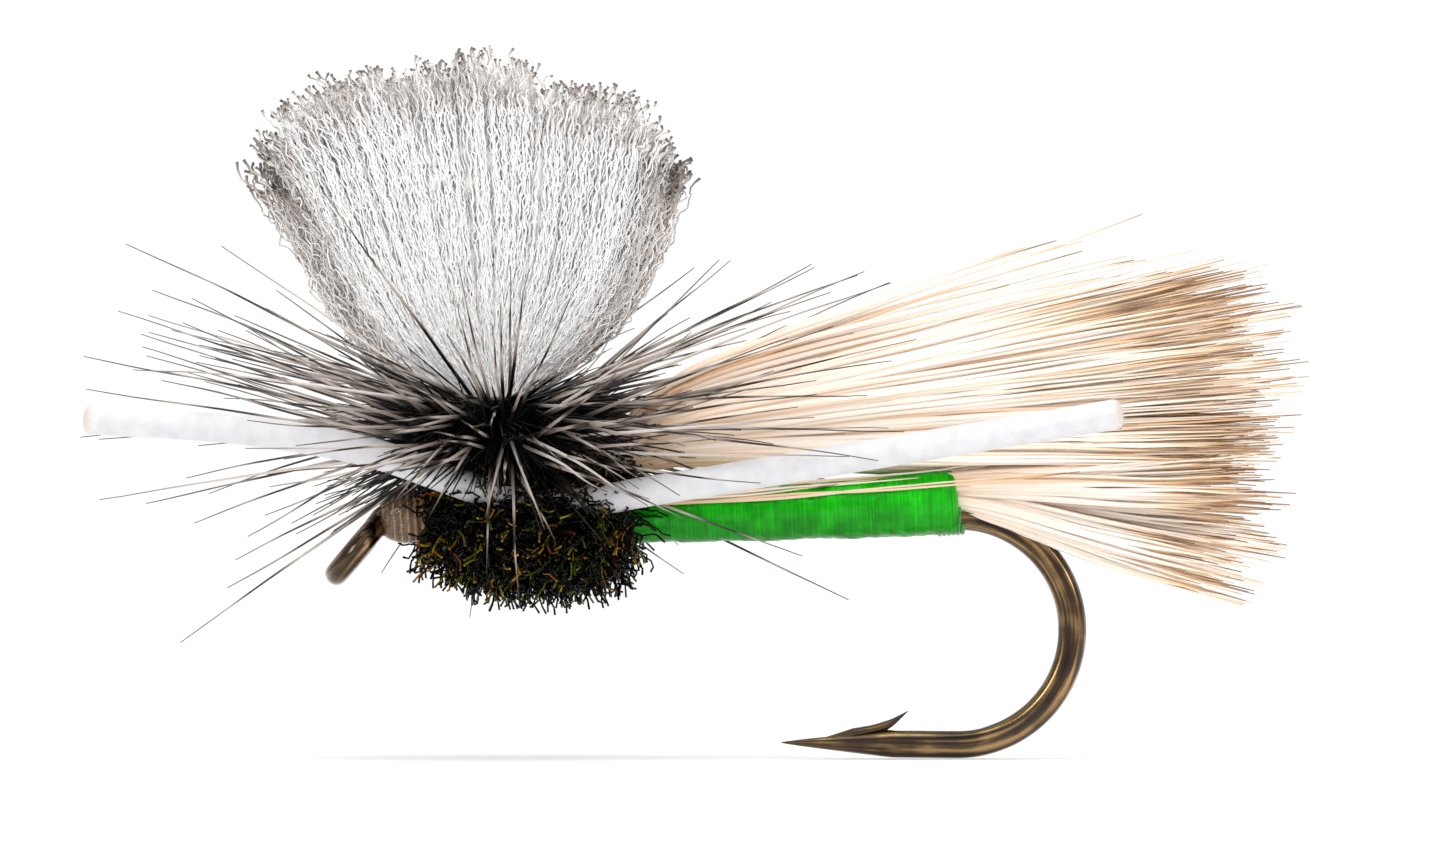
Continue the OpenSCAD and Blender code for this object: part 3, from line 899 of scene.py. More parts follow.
def fan_of_tufts(root, waist, tips, tip_width):
    """Guides from one tie through a waist to each tip, with the widths that hairs may take across them."""
    lines, across, up = [], [], []
    for tip in tips:
        tip = np.array(tip, float)
        through = np.array(waist) + (0, tip[1] * 0.22, (tip[2] - waist[2]) * 0.2)
        line = smooth_path([root, through, through + (tip - through) * (0.5, 0.5, 0.56), tip], TUFT_POINTS)
        share = np.linspace(0, 1, TUFT_POINTS)[:, None]
        width = TIE_WIDTH + (tip_width - TIE_WIDTH) * share**0.8
        lines.append(line)
        across.append(width * (0, 1, 0))
        up.append(width * (0.15, 0, 1))
    return lines, across, up


def spread_tips(draw, low, high, count, x_reach, y_half):
    """Tip places spread over the end of a bundle, from its low edge to its high edge."""
    tips = []
    for i in range(count):
        height = low + (high - low) * (i + draw.uniform(0.1, 0.9)) / count
        middle_share = 1 - abs(2 * (height - low) / (high - low) - 1)
        side = draw.uniform(-1, 1) * y_half * (0.35 + 0.65 * middle_share)
        out = draw.uniform(0, 1) * (0.3 + 0.7 * middle_share)
        tips.append((x_reach[0] + (x_reach[1] - x_reach[0]) * out, side, height))
    return tips


def elk_bundle(name, root, waist, tips, tip_width, wander, scale, **sizes):
    """Hairs in tufts. wander is how far a hair strays from its guide, and scale over what length, in mm."""
    lines, across, up = fan_of_tufts(root, waist, tips, tip_width)
    guides = line_mesh(name + "_guides", lines, across=across, up=up)
    return grow(name, guides, BUNDLE, ELK, Wander=wander * MM, Wander_scale=1 / (scale * MM), **sizes, **HAIR)


draw = rng(21)
wing_tips = spread_tips(draw, 2.1, 7.5, 24, (23.4, 26.0), 2.3)
tail_tips = spread_tips(draw, -1.3, 3.3, 14, (23.2, 25.8), 1.9)
print(len(wing_tips), "tufts in the wing and", len(tail_tips), "in the tail")

# %% [markdown]
# The wing is tied in behind the thorax and lies over the body. The tail is tied in at the rear of the body. A
# few hairs stand out of the wing, as they do on a fly tied by hand.

# %% Wing and tail
root, waist = (6.2, 0, 1.75), (8.4, 0, 2.6)
wing = elk_bundle("elk_wing", root, waist, wing_tips, 0.52, 0.55, 7, Strands=36, Seed=3, Uneven_ends=0.22)
seat(wing, "fly", "elk_hair", "wing_hair", "wing_tie_wraps")

# a few hairs stand up out of the wing
stray = [
    (20.8, 0.4, 8.7),
    (19.2, -0.6, 7.9),
    (21.6, 0.8, 7.9),
    (22.6, -0.3, 7.6),
    (18.0, 0.2, 6.9),
    (23.9, -0.9, 8.1),
]
root, waist = (6.3, 0, 1.9), (8.4, 0, 3.4)
strays = elk_bundle("elk_wing_strays", root, waist, stray, 0.5, 0.6, 6, Strands=4, Seed=5, Uneven_ends=0.2)
seat(strays, "fly", "elk_hair")

root, waist = (13.4, 0, 1.5), (16.2, 0, 1.75)
tail = elk_bundle("elk_tail", root, waist, tail_tips, 0.46, 0.5, 5, Strands=26, Seed=8, Uneven_ends=0.2)
seat(tail, "fly", "elk_hair", "tail_hair")

# %% [markdown]
# Loose pale hairs from the wing also run over the floss body.

# %% Hairs over the body
draw = rng(34)
lines = []
for i in range(12):
    turned = draw.uniform(0.35, 1.5) * draw.choice([-1, -1, 1])
    hair_end = draw.uniform(12.5, 19.5)
    line = []
    for x in np.linspace(6.6, hair_end, 6):
        height, reach = body_shape(x)
        reach += 0.07 + 0.25 * max(0, x - body_high[0])
        line.append((x, reach * math.sin(turned), height + reach * math.cos(turned)))
        turned *= draw.uniform(0.86, 1.12)
    lines.append(smooth_path(line, TUFT_POINTS))
nothing = [np.zeros_like(line) for line in lines]
guides = line_mesh("body_hair_guides", lines, across=nothing, up=nothing)
thin = {**HAIR, "Root_radius": 0.05 * MM}
loose = grow(
    "loose_body_hairs",
    guides,
    BUNDLE,
    ELK,
    Strands=1,
    Seed=9,
    Wander=0.1 * MM,
    Wander_scale=1 / (3 * MM),
    **thin,
)
seat(loose, "fly", "elk_hair")

# %% [markdown]
# ## Peacock herl
#
# The thorax is wound with peacock herl: a dark quill edged with thousands of short curled barbules that flash
# green, gold and copper. A dark core fills the middle, a helix stands for the quill, and the feather tree
# sets the barbules on it, pointing out and leaning at random.

# %% Herl
def herl():
    """Barbules: most are black, and some flash green, gold or copper like metal."""
    finish, tree, shader = new_finish("peacock herl", Roughness=0.26, Specular_IOR_Level=0.2)
    pick = add(tree, "ShaderNodeAttribute", attribute_name="pick").outputs["Fac"]
    colour = add(
        tree,
        "ShaderNodeValToRGB",
        {"Fac": pick},
        stops=[
            (0.0, "#010101"),
            (0.7, "#060503"),
            (0.8, "#161d07"),
            (0.87, "#48661a"),
            (0.93, "#a8861a"),
            (0.975, "#8a4a0e"),
            (1.0, "#0c0603"),
        ],
    )
    metal = add(
        tree,
        "ShaderNodeValToRGB",
        {"Fac": pick},
        stops=[(0.74, "#000000"), (0.83, "#b0b0b0"), (0.97, "#b0b0b0"), (1.0, "#000000")],
    )
    plug(shader, Base_Color=colour, Metallic=metal)
    return finish


HERL = herl()
# matted barbule roots, drawn 0.15 mm apart
HERL_QUILL = grained(
    "dark herl quill",
    0.15,
    [(0.4, "#020202"), (0.62, "#0f0d08"), (0.72, "#252a10")],
    (0.9, 0.08),
    detail=3.0,
    Roughness=0.55,
    Specular_IOR_Level=0.2,
)

# %% [markdown]
# Herl is wound over a dark core, so that no light shows through between barbules. The winding is made as a
# front and a rear piece, which keeps each of them light.

# %% The thorax
THORAX = (1.75, 7.35)
BARBULE = dict(
    Strands=2700,
    Points=7,
    Sides=3,
    Root_radius=0.03 * MM,
    Tip_radius=0.036 * MM,
    Taper=8.0,
    Wander=0.95 * MM,
    Wander_scale=1 / (0.45 * MM),
    Wander_at_root=0.0,
    Length=1.05 * MM,
    Shortest=0.2 * MM,
    Lean=(1.3, 1.0, 1.0),
    Lift=(0, 0, -0.1),
    Curl=0.1 * MM,
)


def thorax_radius(x):
    """The herl is thin at both ends and thick where it covers the middles of the legs."""
    rise = np.clip((x - THORAX[0]) / 2.4, 0, 1) * np.clip((THORAX[1] - x) / 1.6, 0, 1)
    return 0.56 + 0.96 * np.sin(rise * math.pi / 2) ** 0.8


core = np.column_stack([np.linspace(*THORAX, 50), np.zeros(50), np.full(50, SHANK_Z)])
rings = tube_rings(core, thorax_radius(core[:, 0]) * 0.96, sides=48)
rings += ripples(rings, 0.5, 6)[..., None] * 0.03
seat(skin("thorax_core", rings, HERL_QUILL), "fly", "peacock_herl", "leg_tie_wraps", "post_anchor_wraps")


def away(line, keep, axis):
    """Unit directions from an axis out to a line; keep is 1 for the coordinate that runs along the axis."""
    out = line - (line * keep + axis)
    return out / np.linalg.norm(out, axis=1)[:, None]


for name, first, last, seed in (("herl_front", 1.75, 4.5, 41), ("herl_rear", 4.5, 7.35, 42)):
    quill = helix(first, last, lambda s: thorax_radius(first + (last - first) * s), 0.26, points_per_turn=24)
    guides = line_mesh(name + "_quill", [quill], out=[away(quill, (1, 0, 0), (0, 0, SHANK_Z))])
    piece = grow(name, guides, FEATHER, HERL, Seed=seed, **BARBULE)
    seat(piece, "fly", "peacock_herl", *(["thorax_herl"] if name == "herl_front" else []))

# %% [markdown]
# ## Parachute hackle
#
# A grizzly feather from a rooster's neck is wound round the post, so its barbs stand out flat like the spokes
# of a wheel and hold the fly up on the water. A barb is dark near its root, then banded grey-beige, and fine
# and dark at its tip. The stem is five turns of quill, and the feather tree sets the barbs on it.

# %% Grizzly hackle
def grizzly():
    """Barbs of a barred feather, smooth and a little glossy."""
    finish, tree, shader = new_finish(
        "grizzly rooster hackle", Roughness=0.38, Coat_Weight=0.12, Specular_IOR_Level=0.3, Coat_Roughness=0.2
    )
    along = add(tree, "ShaderNodeAttribute", attribute_name="along").outputs["Fac"]
    pick = add(tree, "ShaderNodeAttribute", attribute_name="pick").outputs["Fac"]
    # a dark and a pale band take about a third of a barb, and each barb starts them at its own place
    shift = add(tree, "ShaderNodeMapRange", {"Value": pick, 3: -0.09, 4: 0.09})
    place = add(tree, "ShaderNodeMath", {0: along, 1: shift}, operation="ADD")
    bands = add(
        tree,
        "ShaderNodeValToRGB",
        {"Fac": place},
        stops=[
            (0.0, "#120d09"),
            (0.28, "#17110d"),
            (0.36, "#8d8078"),
            (0.52, "#c3b7ae"),
            (0.6, "#4a4039"),
            (0.7, "#15100d"),
            (0.78, "#a99d94"),
            (0.86, "#6b6058"),
            (1.0, "#1a1411"),
        ],
    )
    odd = add(tree, "ShaderNodeMath", {0: pick, 1: 9.0}, operation="MULTIPLY")
    odd = add(tree, "ShaderNodeMath", {0: odd}, operation="FRACT")
    # one barb in five lies with its pale side out
    pale = add(tree, "ShaderNodeMath", {0: odd, 1: 0.8}, operation="GREATER_THAN")
    side = add(
        tree,
        "ShaderNodeValToRGB",
        {"Fac": along},
        stops=[(0.0, "#8d827a"), (0.15, "#f4ece6"), (0.7, "#cfc4bb"), (1.0, "#3a302a")],
    )
    mixed = add(tree, "ShaderNodeMix", {0: pale, 6: bands, 7: side}, data_type="RGBA")
    plug(shader, Base_Color=mixed.outputs[2])
    return finish


def web():
    """Soft matt barbs near the feather's root: nearly black, and a few of them grey."""
    finish, tree, shader = new_finish("downy black hackle web", Roughness=0.42)
    pick = add(tree, "ShaderNodeAttribute", attribute_name="pick").outputs["Fac"]
    tone = add(
        tree,
        "ShaderNodeValToRGB",
        {"Fac": pick},
        stops=[(0.0, "#020202"), (0.86, "#0a0806"), (0.95, "#3d352f"), (1.0, "#8d827a")],
    )
    plug(shader, Base_Color=tone)
    return finish


GRIZZLY = grizzly()
WEB = web()

# %% [markdown]
# The barbs lie on both sides of the rubber legs and don't pierce them. So the legs' lines are worked out
# first, and any barb that would cross one is combed out.

# %% Where the legs lie
LEG_R = 0.395
LEG_RINGS = 241
COMB_FROM = 20  # the first rings of a leg are under its wraps
COMB_STEP = 2  # the comb looks at every second ring
COMB_GAP = 0.06  # mm left free between a barb and the rubber
JOINTS = {joint["name"]: np.array(joint["pos_m"]) / MM for joint in frame["joints"]}


def leg_bends(leg, side):
    """The middle of the strand, the four joints of one leg and its tip."""
    joints = [JOINTS[leg + move] for move in ("lift", "sweep", "bend", "curl")]
    return [middle(side + "_strand_middle")] + joints + [2 * middle(leg + "tip") - joints[-1]]


LEG_PATHS = []
for side in ("left", "right"):
    for end in ("rear", "front"):
        LEG_PATHS.append(smooth_path(leg_bends(side + "_" + end + "_leg_", side), LEG_RINGS))


def comb(piece, strand_size, paths, clear):
    """Deletes each strand of a grown piece that comes closer than clear, in mm, to a path."""
    places = np.array([v.co for v in piece.data.vertices]) / MM
    touched = np.zeros(len(places), bool)
    for path in paths:
        for spot in path[COMB_FROM::COMB_STEP]:
            touched |= ((places - spot) ** 2).sum(1) < clear**2
    strands = np.unique(np.nonzero(touched)[0] // strand_size)
    doomed = np.isin(np.arange(len(places)) // strand_size, strands)
    shape = bmesh.new()
    shape.from_mesh(piece.data)
    shape.verts.ensure_lookup_table()
    bmesh.ops.delete(shape, geom=[shape.verts[i] for i in np.nonzero(doomed)[0]], context="VERTS")
    shape.to_mesh(piece.data)
    shape.free()
    print(piece.name, "lost", len(strands), "barbs that would cross a leg")


print(len(LEG_PATHS), "legs, with joints at", *sorted(JOINTS))

# %% [markdown]
# The stem carries four sets of barbs: level ones, a few that stand up, a few that hang down, and the short
# dark web round the post. One set with wide limits would be simpler, but it would lose the flat wheel that
# the level barbs make.

# %% The hackle
BARB_SIDES = 5
BARB = dict(
    Sides=BARB_SIDES,
    Tip_radius=0.011 * MM,
    Taper=0.9,
    Wander=0.5 * MM,
    Wander_scale=1 / (6 * MM),
    Wander_at_root=0.0,
    Curl=0.5 * MM,
)
STEM = (2.35, 3.95)  # the heights between which the stem is wound

stem = helix(*STEM, lambda s: 0.98 - 0.16 * s, 0.3, points_per_turn=60, upright=True)
out = away(stem, (0, 0, 1), (POST_X, 0, 0))
quill = winding("hackle_quill", [stem], GRIZZLY, radius=0.13, wander=0.02)
seat(quill, "fly", "hackle_quill", "hackle_stem")

for name, finish, strands, points, lift, lean, shortest, longest, thick, seed in (
    ("hackle_level", GRIZZLY, 200, 18, 0.14, 0.3, 6.4, 10.7, 0.07, 51),
    ("hackle_high", GRIZZLY, 34, 18, 0.5, 0.2, 5.5, 9.2, 0.065, 52),
    ("hackle_low", GRIZZLY, 60, 18, -0.42, 0.26, 4.0, 9.4, 0.07, 53),
    ("hackle_web", WEB, 1500, 8, -0.06, 0.55, 1.2, 4.3, 0.06, 54),
):
    guides = line_mesh(name + "_stem", [stem], out=[out])
    sizes = dict(Strands=strands, Points=points, Seed=seed, Root_radius=thick * MM, **BARB)
    sizes.update(Length=longest * MM, Shortest=shortest * MM, Lean=(0.3, 0.3, lean), Lift=(0, 0, lift))
    piece = grow(name, guides, FEATHER, finish, **sizes)
    comb(piece, points * BARB_SIDES, LEG_PATHS, LEG_R + COMB_GAP)
    seat(piece, "fly", "grizzly_hackle", *(["hackle_barbs"] if name == "hackle_level" else []))

# black thread and matted barb roots fill the middle of the parachute
collar = winding(
    "post_thread",
    [helix(1.7, 4.05, lambda s: 0.8 - 0.18 * s, 0.11, upright=True)],
    BLACK_THREAD,
    radius=0.075,
)
seat(collar, "fly", "black_thread", "post_wraps")

# %% [markdown]
# ## Yarn post
#
# The post is white poly yarn, looped up through the black wraps and cut to a fan. It is a mass of very fine
# crinkled fibre: solid and bright in the middle, and open at its margins, where single loops show grey.
# Guides fan out from the wraps to the cut edge, and the bundle tree grows fibres with a strong short wander
# on them.

# %% Poly yarn
def yarn():
    """White crimped fibre, matt on the whole and bright where it is packed."""
    finish, tree, shader = new_finish("white poly yarn", Roughness=0.45, Coat_Weight=0.1)
    pick = add(tree, "ShaderNodeAttribute", attribute_name="pick").outputs["Fac"]
    along = add(tree, "ShaderNodeAttribute", attribute_name="along").outputs["Fac"]
    tone = add(
        tree,
        "ShaderNodeValToRGB",
        {"Fac": pick},
        stops=[(0.0, "#fbf8f6"), (0.4, "#ffffff"), (1.0, "#ffffff")],
    )
    # dust and the blade leave the last fifteenth or so of a fibre greyer
    end = add(
        tree,
        "ShaderNodeValToRGB",
        {"Fac": along},
        stops=[(0.0, "#ffffff"), (0.93, "#ffffff"), (0.98, "#f0ecea"), (1.0, "#c9c2bd")],
    )
    mixed = add(tree, "ShaderNodeMix", {0: 1.0, 6: tone, 7: end}, data_type="RGBA", blend_type="MULTIPLY")
    # tangled crimps about 0.2 mm apart
    place = add(tree, "ShaderNodeTexCoord").outputs["Object"]
    crimps = add(
        tree,
        "ShaderNodeTexNoise",
        {"Vector": place, "Scale": 1 / (0.2 * MM), "Detail": 3.0, "Distortion": 1.2},
    )
    bump = add(tree, "ShaderNodeBump", {"Height": crimps, "Strength": 0.5, "Distance": 0.05 * MM})
    plug(shader, Base_Color=mixed.outputs[2], Normal=bump)
    return finish


def yarn_margin():
    """Single fibres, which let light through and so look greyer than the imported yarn."""
    finish, tree, shader = new_finish(
        "translucent poly fibre", Roughness=0.3, Sheen_Weight=0.2, Coat_Weight=0.3
    )
    pick = add(tree, "ShaderNodeAttribute", attribute_name="pick").outputs["Fac"]
    tone = add(
        tree,
        "ShaderNodeValToRGB",
        {"Fac": pick},
        stops=[(0.0, "#c4bbb4"), (0.4, "#ebe6e3"), (1.0, "#ffffff")],
    )
    along = add(tree, "ShaderNodeAttribute", attribute_name="along").outputs["Fac"]
    # a hot blade leaves a small brown-grey bead on each fibre
    end = add(
        tree,
        "ShaderNodeValToRGB",
        {"Fac": along},
        stops=[(0.0, "#ffffff"), (0.86, "#f8f5f3"), (0.96, "#c2bab4"), (1.0, "#5e5650")],
    )
    mixed = add(tree, "ShaderNodeMix", {0: 1.0, 6: tone, 7: end}, data_type="RGBA", blend_type="MULTIPLY")
    plug(shader, Base_Color=mixed.outputs[2])
    return finish


YARN = yarn()
YARN_MARGIN = yarn_margin()

# %% [markdown]
# The fan is given as it is seen from the side: how far its two flanks lean from straight up, at each reach
# from the root, and how far its cut edge reaches at each angle, with a notch where the two halves part.
# Angles are in degrees.

# %% Shape of the fan
YARN_ROOT = np.array([3.92, 0.0, 3.5])
FLANK_REACH = [0.3, 1.6, 2.7, 3.9, 4.8, 6.5, 8.0, 9.6]
FRONT_FLANK = [-72, -70, -66, -59, -54, -47, -43, -42]
REAR_FLANK = [40, 45, 47, 45, 42, 36, 32, 31]
EDGE_ANGLE = [-42, -32, -14, 2.5, 5.6, 16.7, 24.5, 31]
EDGE_REACH = [9.4, 9.75, 9.25, 9.2, 8.45, 8.7, 8.6, 8.1]


def fan_angle(side, reach):
    """The lean of a fibre in radians; side runs from -1 on the front flank to 1 on the rear flank."""
    front = np.interp(reach, FLANK_REACH, FRONT_FLANK)
    rear = np.interp(reach, FLANK_REACH, REAR_FLANK)
    return np.radians((front + rear) / 2 + side * (rear - front) / 2)


def fan_place(side, aside, reach):
    """A place in the fan; aside runs from -1 on its left face to 1 on its right."""
    angle = fan_angle(side, reach)
    depth = (0.35 + 0.22 * reach) * aside
    return YARN_ROOT + np.stack([reach * np.sin(angle), depth + 0 * angle, reach * np.cos(angle)], axis=-1)


def edge_reach(side):
    """How far the cut edge is from the root."""
    return np.interp(np.degrees(fan_angle(side, FLANK_REACH[-1])), EDGE_ANGLE, EDGE_REACH)


print("the fan's cut edge is", edge_reach(0.0).round(1), "mm from its root in the middle")

# %% [markdown]
# The fibres grow on guides inside the fan. Those round the heart are the body of the yarn, in four pieces so
# that each stays light. Loose ones make the open margins, and short ones the cut top.

# %% Yarn fibres
GUIDE_POINTS = 14
CRINKLE = dict(
    Seed=64,
    Points=72,
    Sides=3,
    Taper=16.0,
    Uneven_ends=0.06,
    Wander=0.42 * MM,
    Wander_scale=1 / (0.3 * MM),
    Wander_at_root=0.5,
    Root_radius=0.03 * MM,
    Tip_radius=0.033 * MM,
)


def fibres(name, finish, draw, count, strands, places, spread, **sizes):
    """Fibres along guides. places draws the side, the aside and the two reaches of one guide."""
    lines, across, up = [], [], []
    for _ in range(count):
        side, aside, first, last = places(draw)
        edge = edge_reach(side)
        lines.append(fan_place(side, aside, np.linspace(first * edge, last * edge, GUIDE_POINTS)))
        width = np.linspace(0.3, 1, GUIDE_POINTS)[:, None] * spread
        across.append(width * (1, 0, 0))
        up.append(width * (0, 0.8, 0.4))
    guides = line_mesh(name + "_guides", lines, across=across, up=up)
    return grow(name, guides, BUNDLE, finish, Strands=strands, **{**CRINKLE, **sizes})


def round_the_heart(draw):
    """Round the outside of the heart, from the root to the cut."""
    turned = draw.uniform(0, 2 * math.pi)
    out = draw.uniform(0.95, 1.03)
    return out * math.cos(turned), out * math.sin(turned), 0.03, draw.uniform(0.93, 1.0)


def on_a_flank(draw):
    """On the front flank or the rear one, or a little outside it."""
    side = draw.choice([-1, 1]) * draw.uniform(0.94, 1.13)
    return side, draw.uniform(-0.5, 0.5), 0.12, draw.uniform(0.9, 1.04)


def on_top(draw, first, least, most):
    """Anywhere on the top of the fan, from the share first of its height to between least and most."""
    side = draw.uniform(-1, 1)
    return side, draw.uniform(-1, 1) * math.sqrt(1 - 0.8 * side**2), first, draw.uniform(least, most)


def at_the_cut(draw):
    """Ends that stand out of the top."""
    return on_top(draw, 0.88, 0.99, 1.06)


def under_the_cut(draw):
    """Ends that close the top between those."""
    return on_top(draw, 0.86, 0.95, 1.01)


for name, seed in (("yarn_a", 61), ("yarn_b", 62), ("yarn_c", 63), ("yarn_d", 64)):
    piece = fibres(name, YARN, rng(seed), 88, 5, round_the_heart, 0.14, Seed=seed)
    seat(piece, "fly", "white_yarn", *(["post_yarn"] if name == "yarn_a" else []))

# loose fibres on the flanks and at the cut; each ends in the small bead that a hot blade leaves
beads = dict(Root_radius=0.024 * MM, Tip_radius=0.052 * MM, Taper=30.0)
beads.update(Wander=0.85 * MM, Wander_scale=1 / (0.42 * MM))
for name, finish, seed, count, strands, places, spread, sizes in (
    ("yarn_flanks", YARN_MARGIN, 65, 40, 6, on_a_flank, 0.35, beads),
    ("yarn_cut_ends", YARN_MARGIN, 66, 110, 5, at_the_cut, 0.4, dict(Points=16, **beads)),
    ("yarn_cut_face", YARN, 68, 320, 6, under_the_cut, 0.35, dict(Points=10, Wander=0.6 * MM)),
):
    seat(fibres(name, finish, rng(seed), count, strands, places, spread, **sizes), "fly", "white_yarn")

# %% [markdown]
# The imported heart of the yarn, where no light passes between the fibres, is a skin inside them.

# %% The heart of the yarn
HEART = 0.93  # share of the fan that the heart fills
HEART_SCALE = 9.2  # the reach of the cut edge for which the heart's rings are given
heart_reach = np.concatenate([np.linspace(0.4, 8.0, 40), 8.0 + 0.55 * np.sin(np.linspace(0.1, 1.5, 10))])
turn = np.linspace(0, 2 * math.pi, 64, endpoint=False)
squeeze = np.sqrt(np.clip(1 - ((heart_reach - 7.2) / 1.37).clip(0, 1) ** 2, 0.01, 1))
rings = []
for reach, narrow in zip(heart_reach, squeeze):
    side = HEART * narrow * np.cos(turn)
    rings.append(fan_place(side, HEART * narrow * np.sin(turn), reach * edge_reach(side) / HEART_SCALE))
rings = np.array(rings) + ripples(np.array(rings), 0.6, 67)[..., None] * 0.05
seat(skin("yarn_heart", rings, YARN), "fly", "white_yarn")

# %% [markdown]
# ## Rubber legs
#
# Each side has one length of round white rubber, tied at its middle, so that it makes a front leg and a rear
# leg. The rubber flexes, and the frame gives each leg four joints. A leg is cut half-way along two of its
# segments and at its last joint. The tip is rigid, and at the last joint it and the piece before it end in
# half balls inside each other.

# %% Rubber
def rubber():
    """White silicone rubber with talc on it: matt, and soft in the light."""
    finish, tree, shader = new_finish(
        "extruded white silicone rubber",
        Roughness=0.48,
        Sheen_Weight=0.2,
        Subsurface_Weight=0.2,
        Subsurface_Radius=(1, 1, 1),
        Subsurface_Scale=0.15 * MM,
    )
    place = add(tree, "ShaderNodeTexCoord").outputs["Object"]
    # talc on the rubber comes in soft patches about 0.5 mm across
    talc = add(tree, "ShaderNodeTexNoise", {"Vector": place, "Scale": 1 / (0.5 * MM), "Detail": 4.0})
    colour = add(
        tree,
        "ShaderNodeValToRGB",
        {"Fac": talc},
        stops=[(0.3, "#cdcccf"), (0.5, "#d6d5d8"), (0.7, "#dddcde")],
    )
    rough = add(tree, "ShaderNodeMapRange", {"Value": talc, 3: 0.36, 4: 0.62})
    where = add(tree, "ShaderNodeUVMap", uv_map="along_and_round")
    # the die leaves faint lines along the leg, about 0.15 mm apart
    drawn = add(tree, "ShaderNodeMapping", {"Vector": where, "Scale": (1.5, 17.0, 1.0)})
    lines = add(tree, "ShaderNodeTexNoise", {"Vector": drawn, "Scale": 1.0, "Detail": 3.0})
    bump = add(tree, "ShaderNodeBump", {"Height": lines, "Strength": 0.35, "Distance": 0.02 * MM})
    plug(shader, Base_Color=colour, Roughness=rough, Normal=bump)
    return finish


RUBBER = rubber()
# the blade leaves fine steps about 0.06 mm apart, a little yellower than the talced skin
CUT_RUBBER = grained(
    "cut face of the rubber", 0.06, [(0.3, "#cfc8c0"), (0.7, "#e0dbd5")], (0.3, 0.02), Roughness=0.7
)

# %% [markdown]
# All the rings of a leg are worked out in one row and cut into pieces afterwards, so the pieces meet ring on
# ring. The end of the leg is a square cut with a narrow chamfer, as a blade leaves it.

# %% Tools for legs
U_PER_RING = 0.06  # the rings of a leg are about that far apart, in mm
BALL_RINGS = 8
REACHES = (0.4, 0.4, 1.6)  # mm on both sides of each of the first three joints


def leg_skin(points):
    """Rings along one leg, its cut end square with a narrow chamfer, and the ring at each point."""
    path = smooth_path(points, LEG_RINGS)
    ahead = (path[-1] - path[-2]) / np.linalg.norm(path[-1] - path[-2])
    chamfer = np.array([[0.03, 0.97], [0.09, 0.86], [0.13, 0.72]])
    path = np.vstack([path, path[-1] + chamfer[:, :1] * ahead])
    radii = LEG_R * np.concatenate([np.ones(LEG_RINGS), chamfer[:, 1]])
    at = [int(np.argmin(np.linalg.norm(path - p, axis=1))) for p in points]
    return tube_rings(path, radii, sides=36), at


def round_end(ring, way):
    """Rings that close a length of rubber in a half ball round the joint, on the side that way points to."""
    centre = ring.mean(0)
    turns = np.linspace(0.2, 1.5, BALL_RINGS)
    return [centre + (ring - centre) * math.cos(a) + way * LEG_R * math.sin(a) for a in turns]


print("a leg bends over", *REACHES, "mm on both sides of its joints")

# %% [markdown]
# The first three pieces of a leg stay where they are made and hide the CAD solids they stand for, and the tip
# rides on the last body alone.

# %% Legs
for side in ("left", "right"):
    for end in ("rear", "front"):
        leg = side + "_" + end + "_leg_"
        points = leg_bends(leg, side)
        rings, at = leg_skin(points)
        # the cuts lie half-way along the root and the inner segment, and at the last joint
        cuts = [0, (at[1] + at[2]) // 2, (at[2] + at[3]) // 2, at[4]]
        onward = (points[5] - points[4]) / np.linalg.norm(points[5] - points[4])
        bodies = ["fly"] + [leg + part for part in ("root", "inner", "middle")]
        for i, reach in enumerate(REACHES):
            part = bodies[i + 1]
            length = list(rings[cuts[i] : cuts[i + 1] + 1])
            if i == 2:
                length += round_end(rings[at[4]], onward)
            piece = skin("rubber_" + part, np.array(length), RUBBER, begin=cuts[i] * U_PER_RING)
            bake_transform(piece)
            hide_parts(part, *([side + "_strand_middle"] if end == "rear" and i == 0 else []))
        length = np.array(round_end(rings[at[4]], -onward)[::-1] + list(rings[at[4] :]))
        tip_begin = (at[4] - BALL_RINGS) * U_PER_RING
        tip = skin("rubber_" + leg + "tip", length, RUBBER, begin=tip_begin, cut=CUT_RUBBER)
        seat(tip, leg + "tip", "white_rubber", leg + "tip")
        print(leg, "cut at rings", cuts)

# %% [markdown]
# ## Light and floor
#
# A fly is small and pale, so it is shown against white. The floor is plain and pale, the sky is even, and
# soft lamps from above, from the front and from both sides draw the highlights on the wire and on the floss.

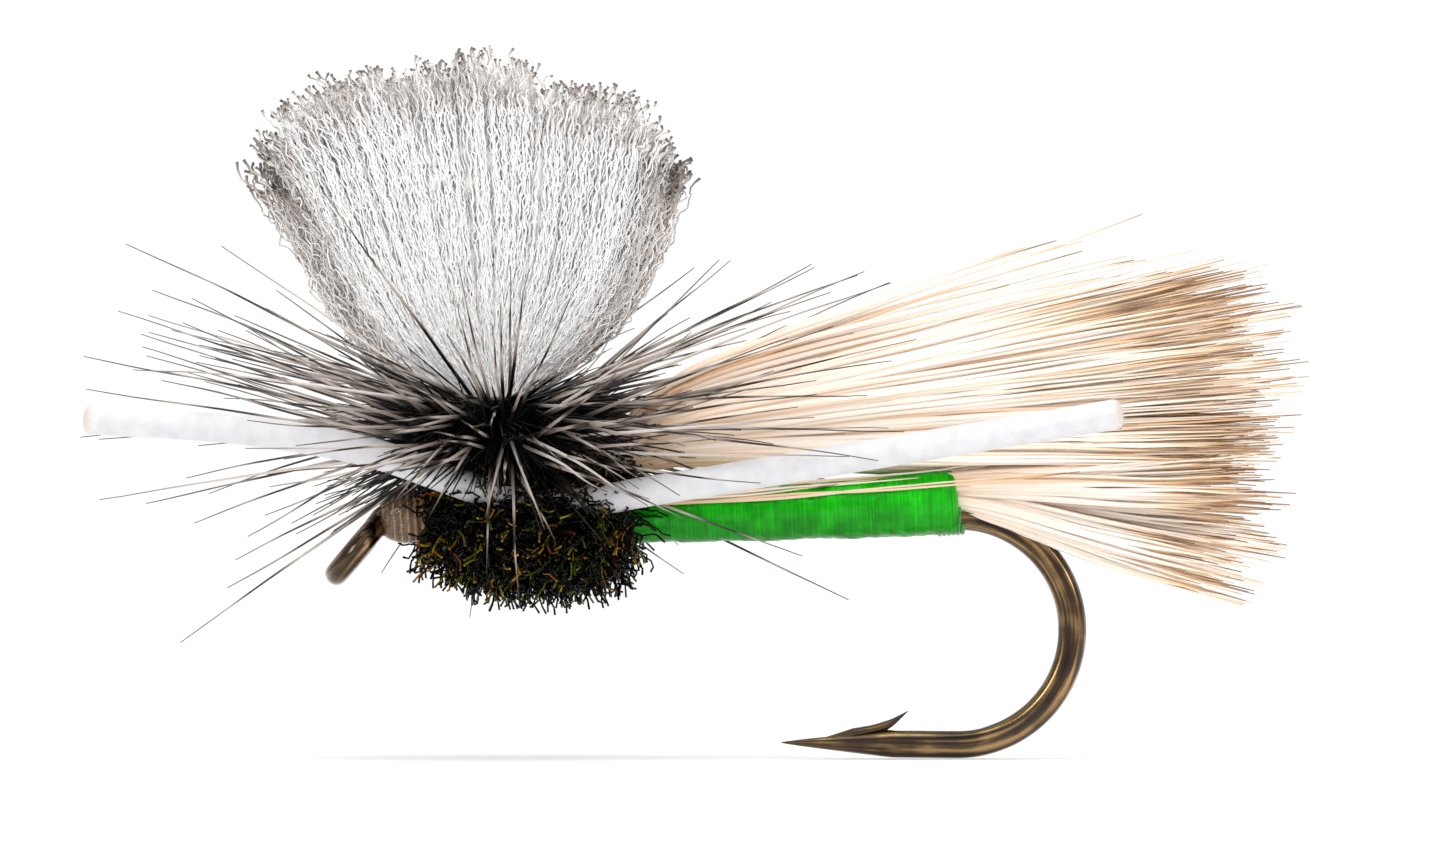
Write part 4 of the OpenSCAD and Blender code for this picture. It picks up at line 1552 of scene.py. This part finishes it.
# %% Stage
FLOOR_Z = hook_low[2] - 0.02
floor_mesh = bpy.data.meshes.new("floor")
turn = np.linspace(0, 2 * math.pi, 64, endpoint=False)
disc = np.column_stack([VIEW_CENTRE[0] + 90 * np.cos(turn), 90 * np.sin(turn), np.full(64, FLOOR_Z)]) * MM
floor_mesh.from_pydata(disc.tolist(), [], [tuple(range(64))])
floor = new_object("floor", floor_mesh)
paper, tree, shader = new_finish("matt white paper", Roughness=0.9)
place = add(tree, "ShaderNodeTexCoord").outputs["Object"]
grain = add(tree, "ShaderNodeTexNoise", {"Vector": place, "Scale": 1 / (2 * MM), "Detail": 2.0})
plug(
    shader,
    Base_Color=add(tree, "ShaderNodeValToRGB", {"Fac": grain}, stops=[(0.3, "#fbfbfb"), (0.7, "#ffffff")]),
)
floor_mesh.materials.append(paper)

world = bpy.data.worlds.new("white studio")
world.use_nodes = True
sky = world.node_tree.nodes["Background"]
sky.inputs["Color"].default_value = (1, 1, 1, 1)
# the paper behind is lit to pure white, but less of that light falls on the fly
seen = add(world.node_tree, "ShaderNodeLightPath").outputs["Is Camera Ray"]
level = add(world.node_tree, "ShaderNodeMapRange", {"Value": seen, 3: 0.72, 4: 1.05})
world.node_tree.links.new(level.outputs[0], sky.inputs["Strength"])
bpy.context.scene.world = world
bpy.context.scene.view_settings.view_transform = "Standard"


def lamp(name, place, size, power):
    """A square soft lamp at a place in mm, turned to the fly."""
    light = bpy.data.lights.new(name, "AREA")
    light.size = size * MM
    light.energy = power
    made = new_object(name, light)
    made.location = [c * MM for c in place]
    aim = Vector([(c - p) * MM for c, p in zip((VIEW_CENTRE[0], 0, VIEW_CENTRE[1]), place)])
    made.rotation_euler = aim.to_track_quat("-Z", "Y").to_euler()
    return made


lamp("lamp_top", (6, -40, 170), 130, 0.16)
lamp("lamp_front_left", (-120, -170, 90), 90, 0.14)
lamp("lamp_front_right", (150, -150, 70), 90, 0.1)
lamp("lamp_back", (40, 180, 120), 110, 0.1)
print("floor at", round(FLOOR_Z, 2), "mm")
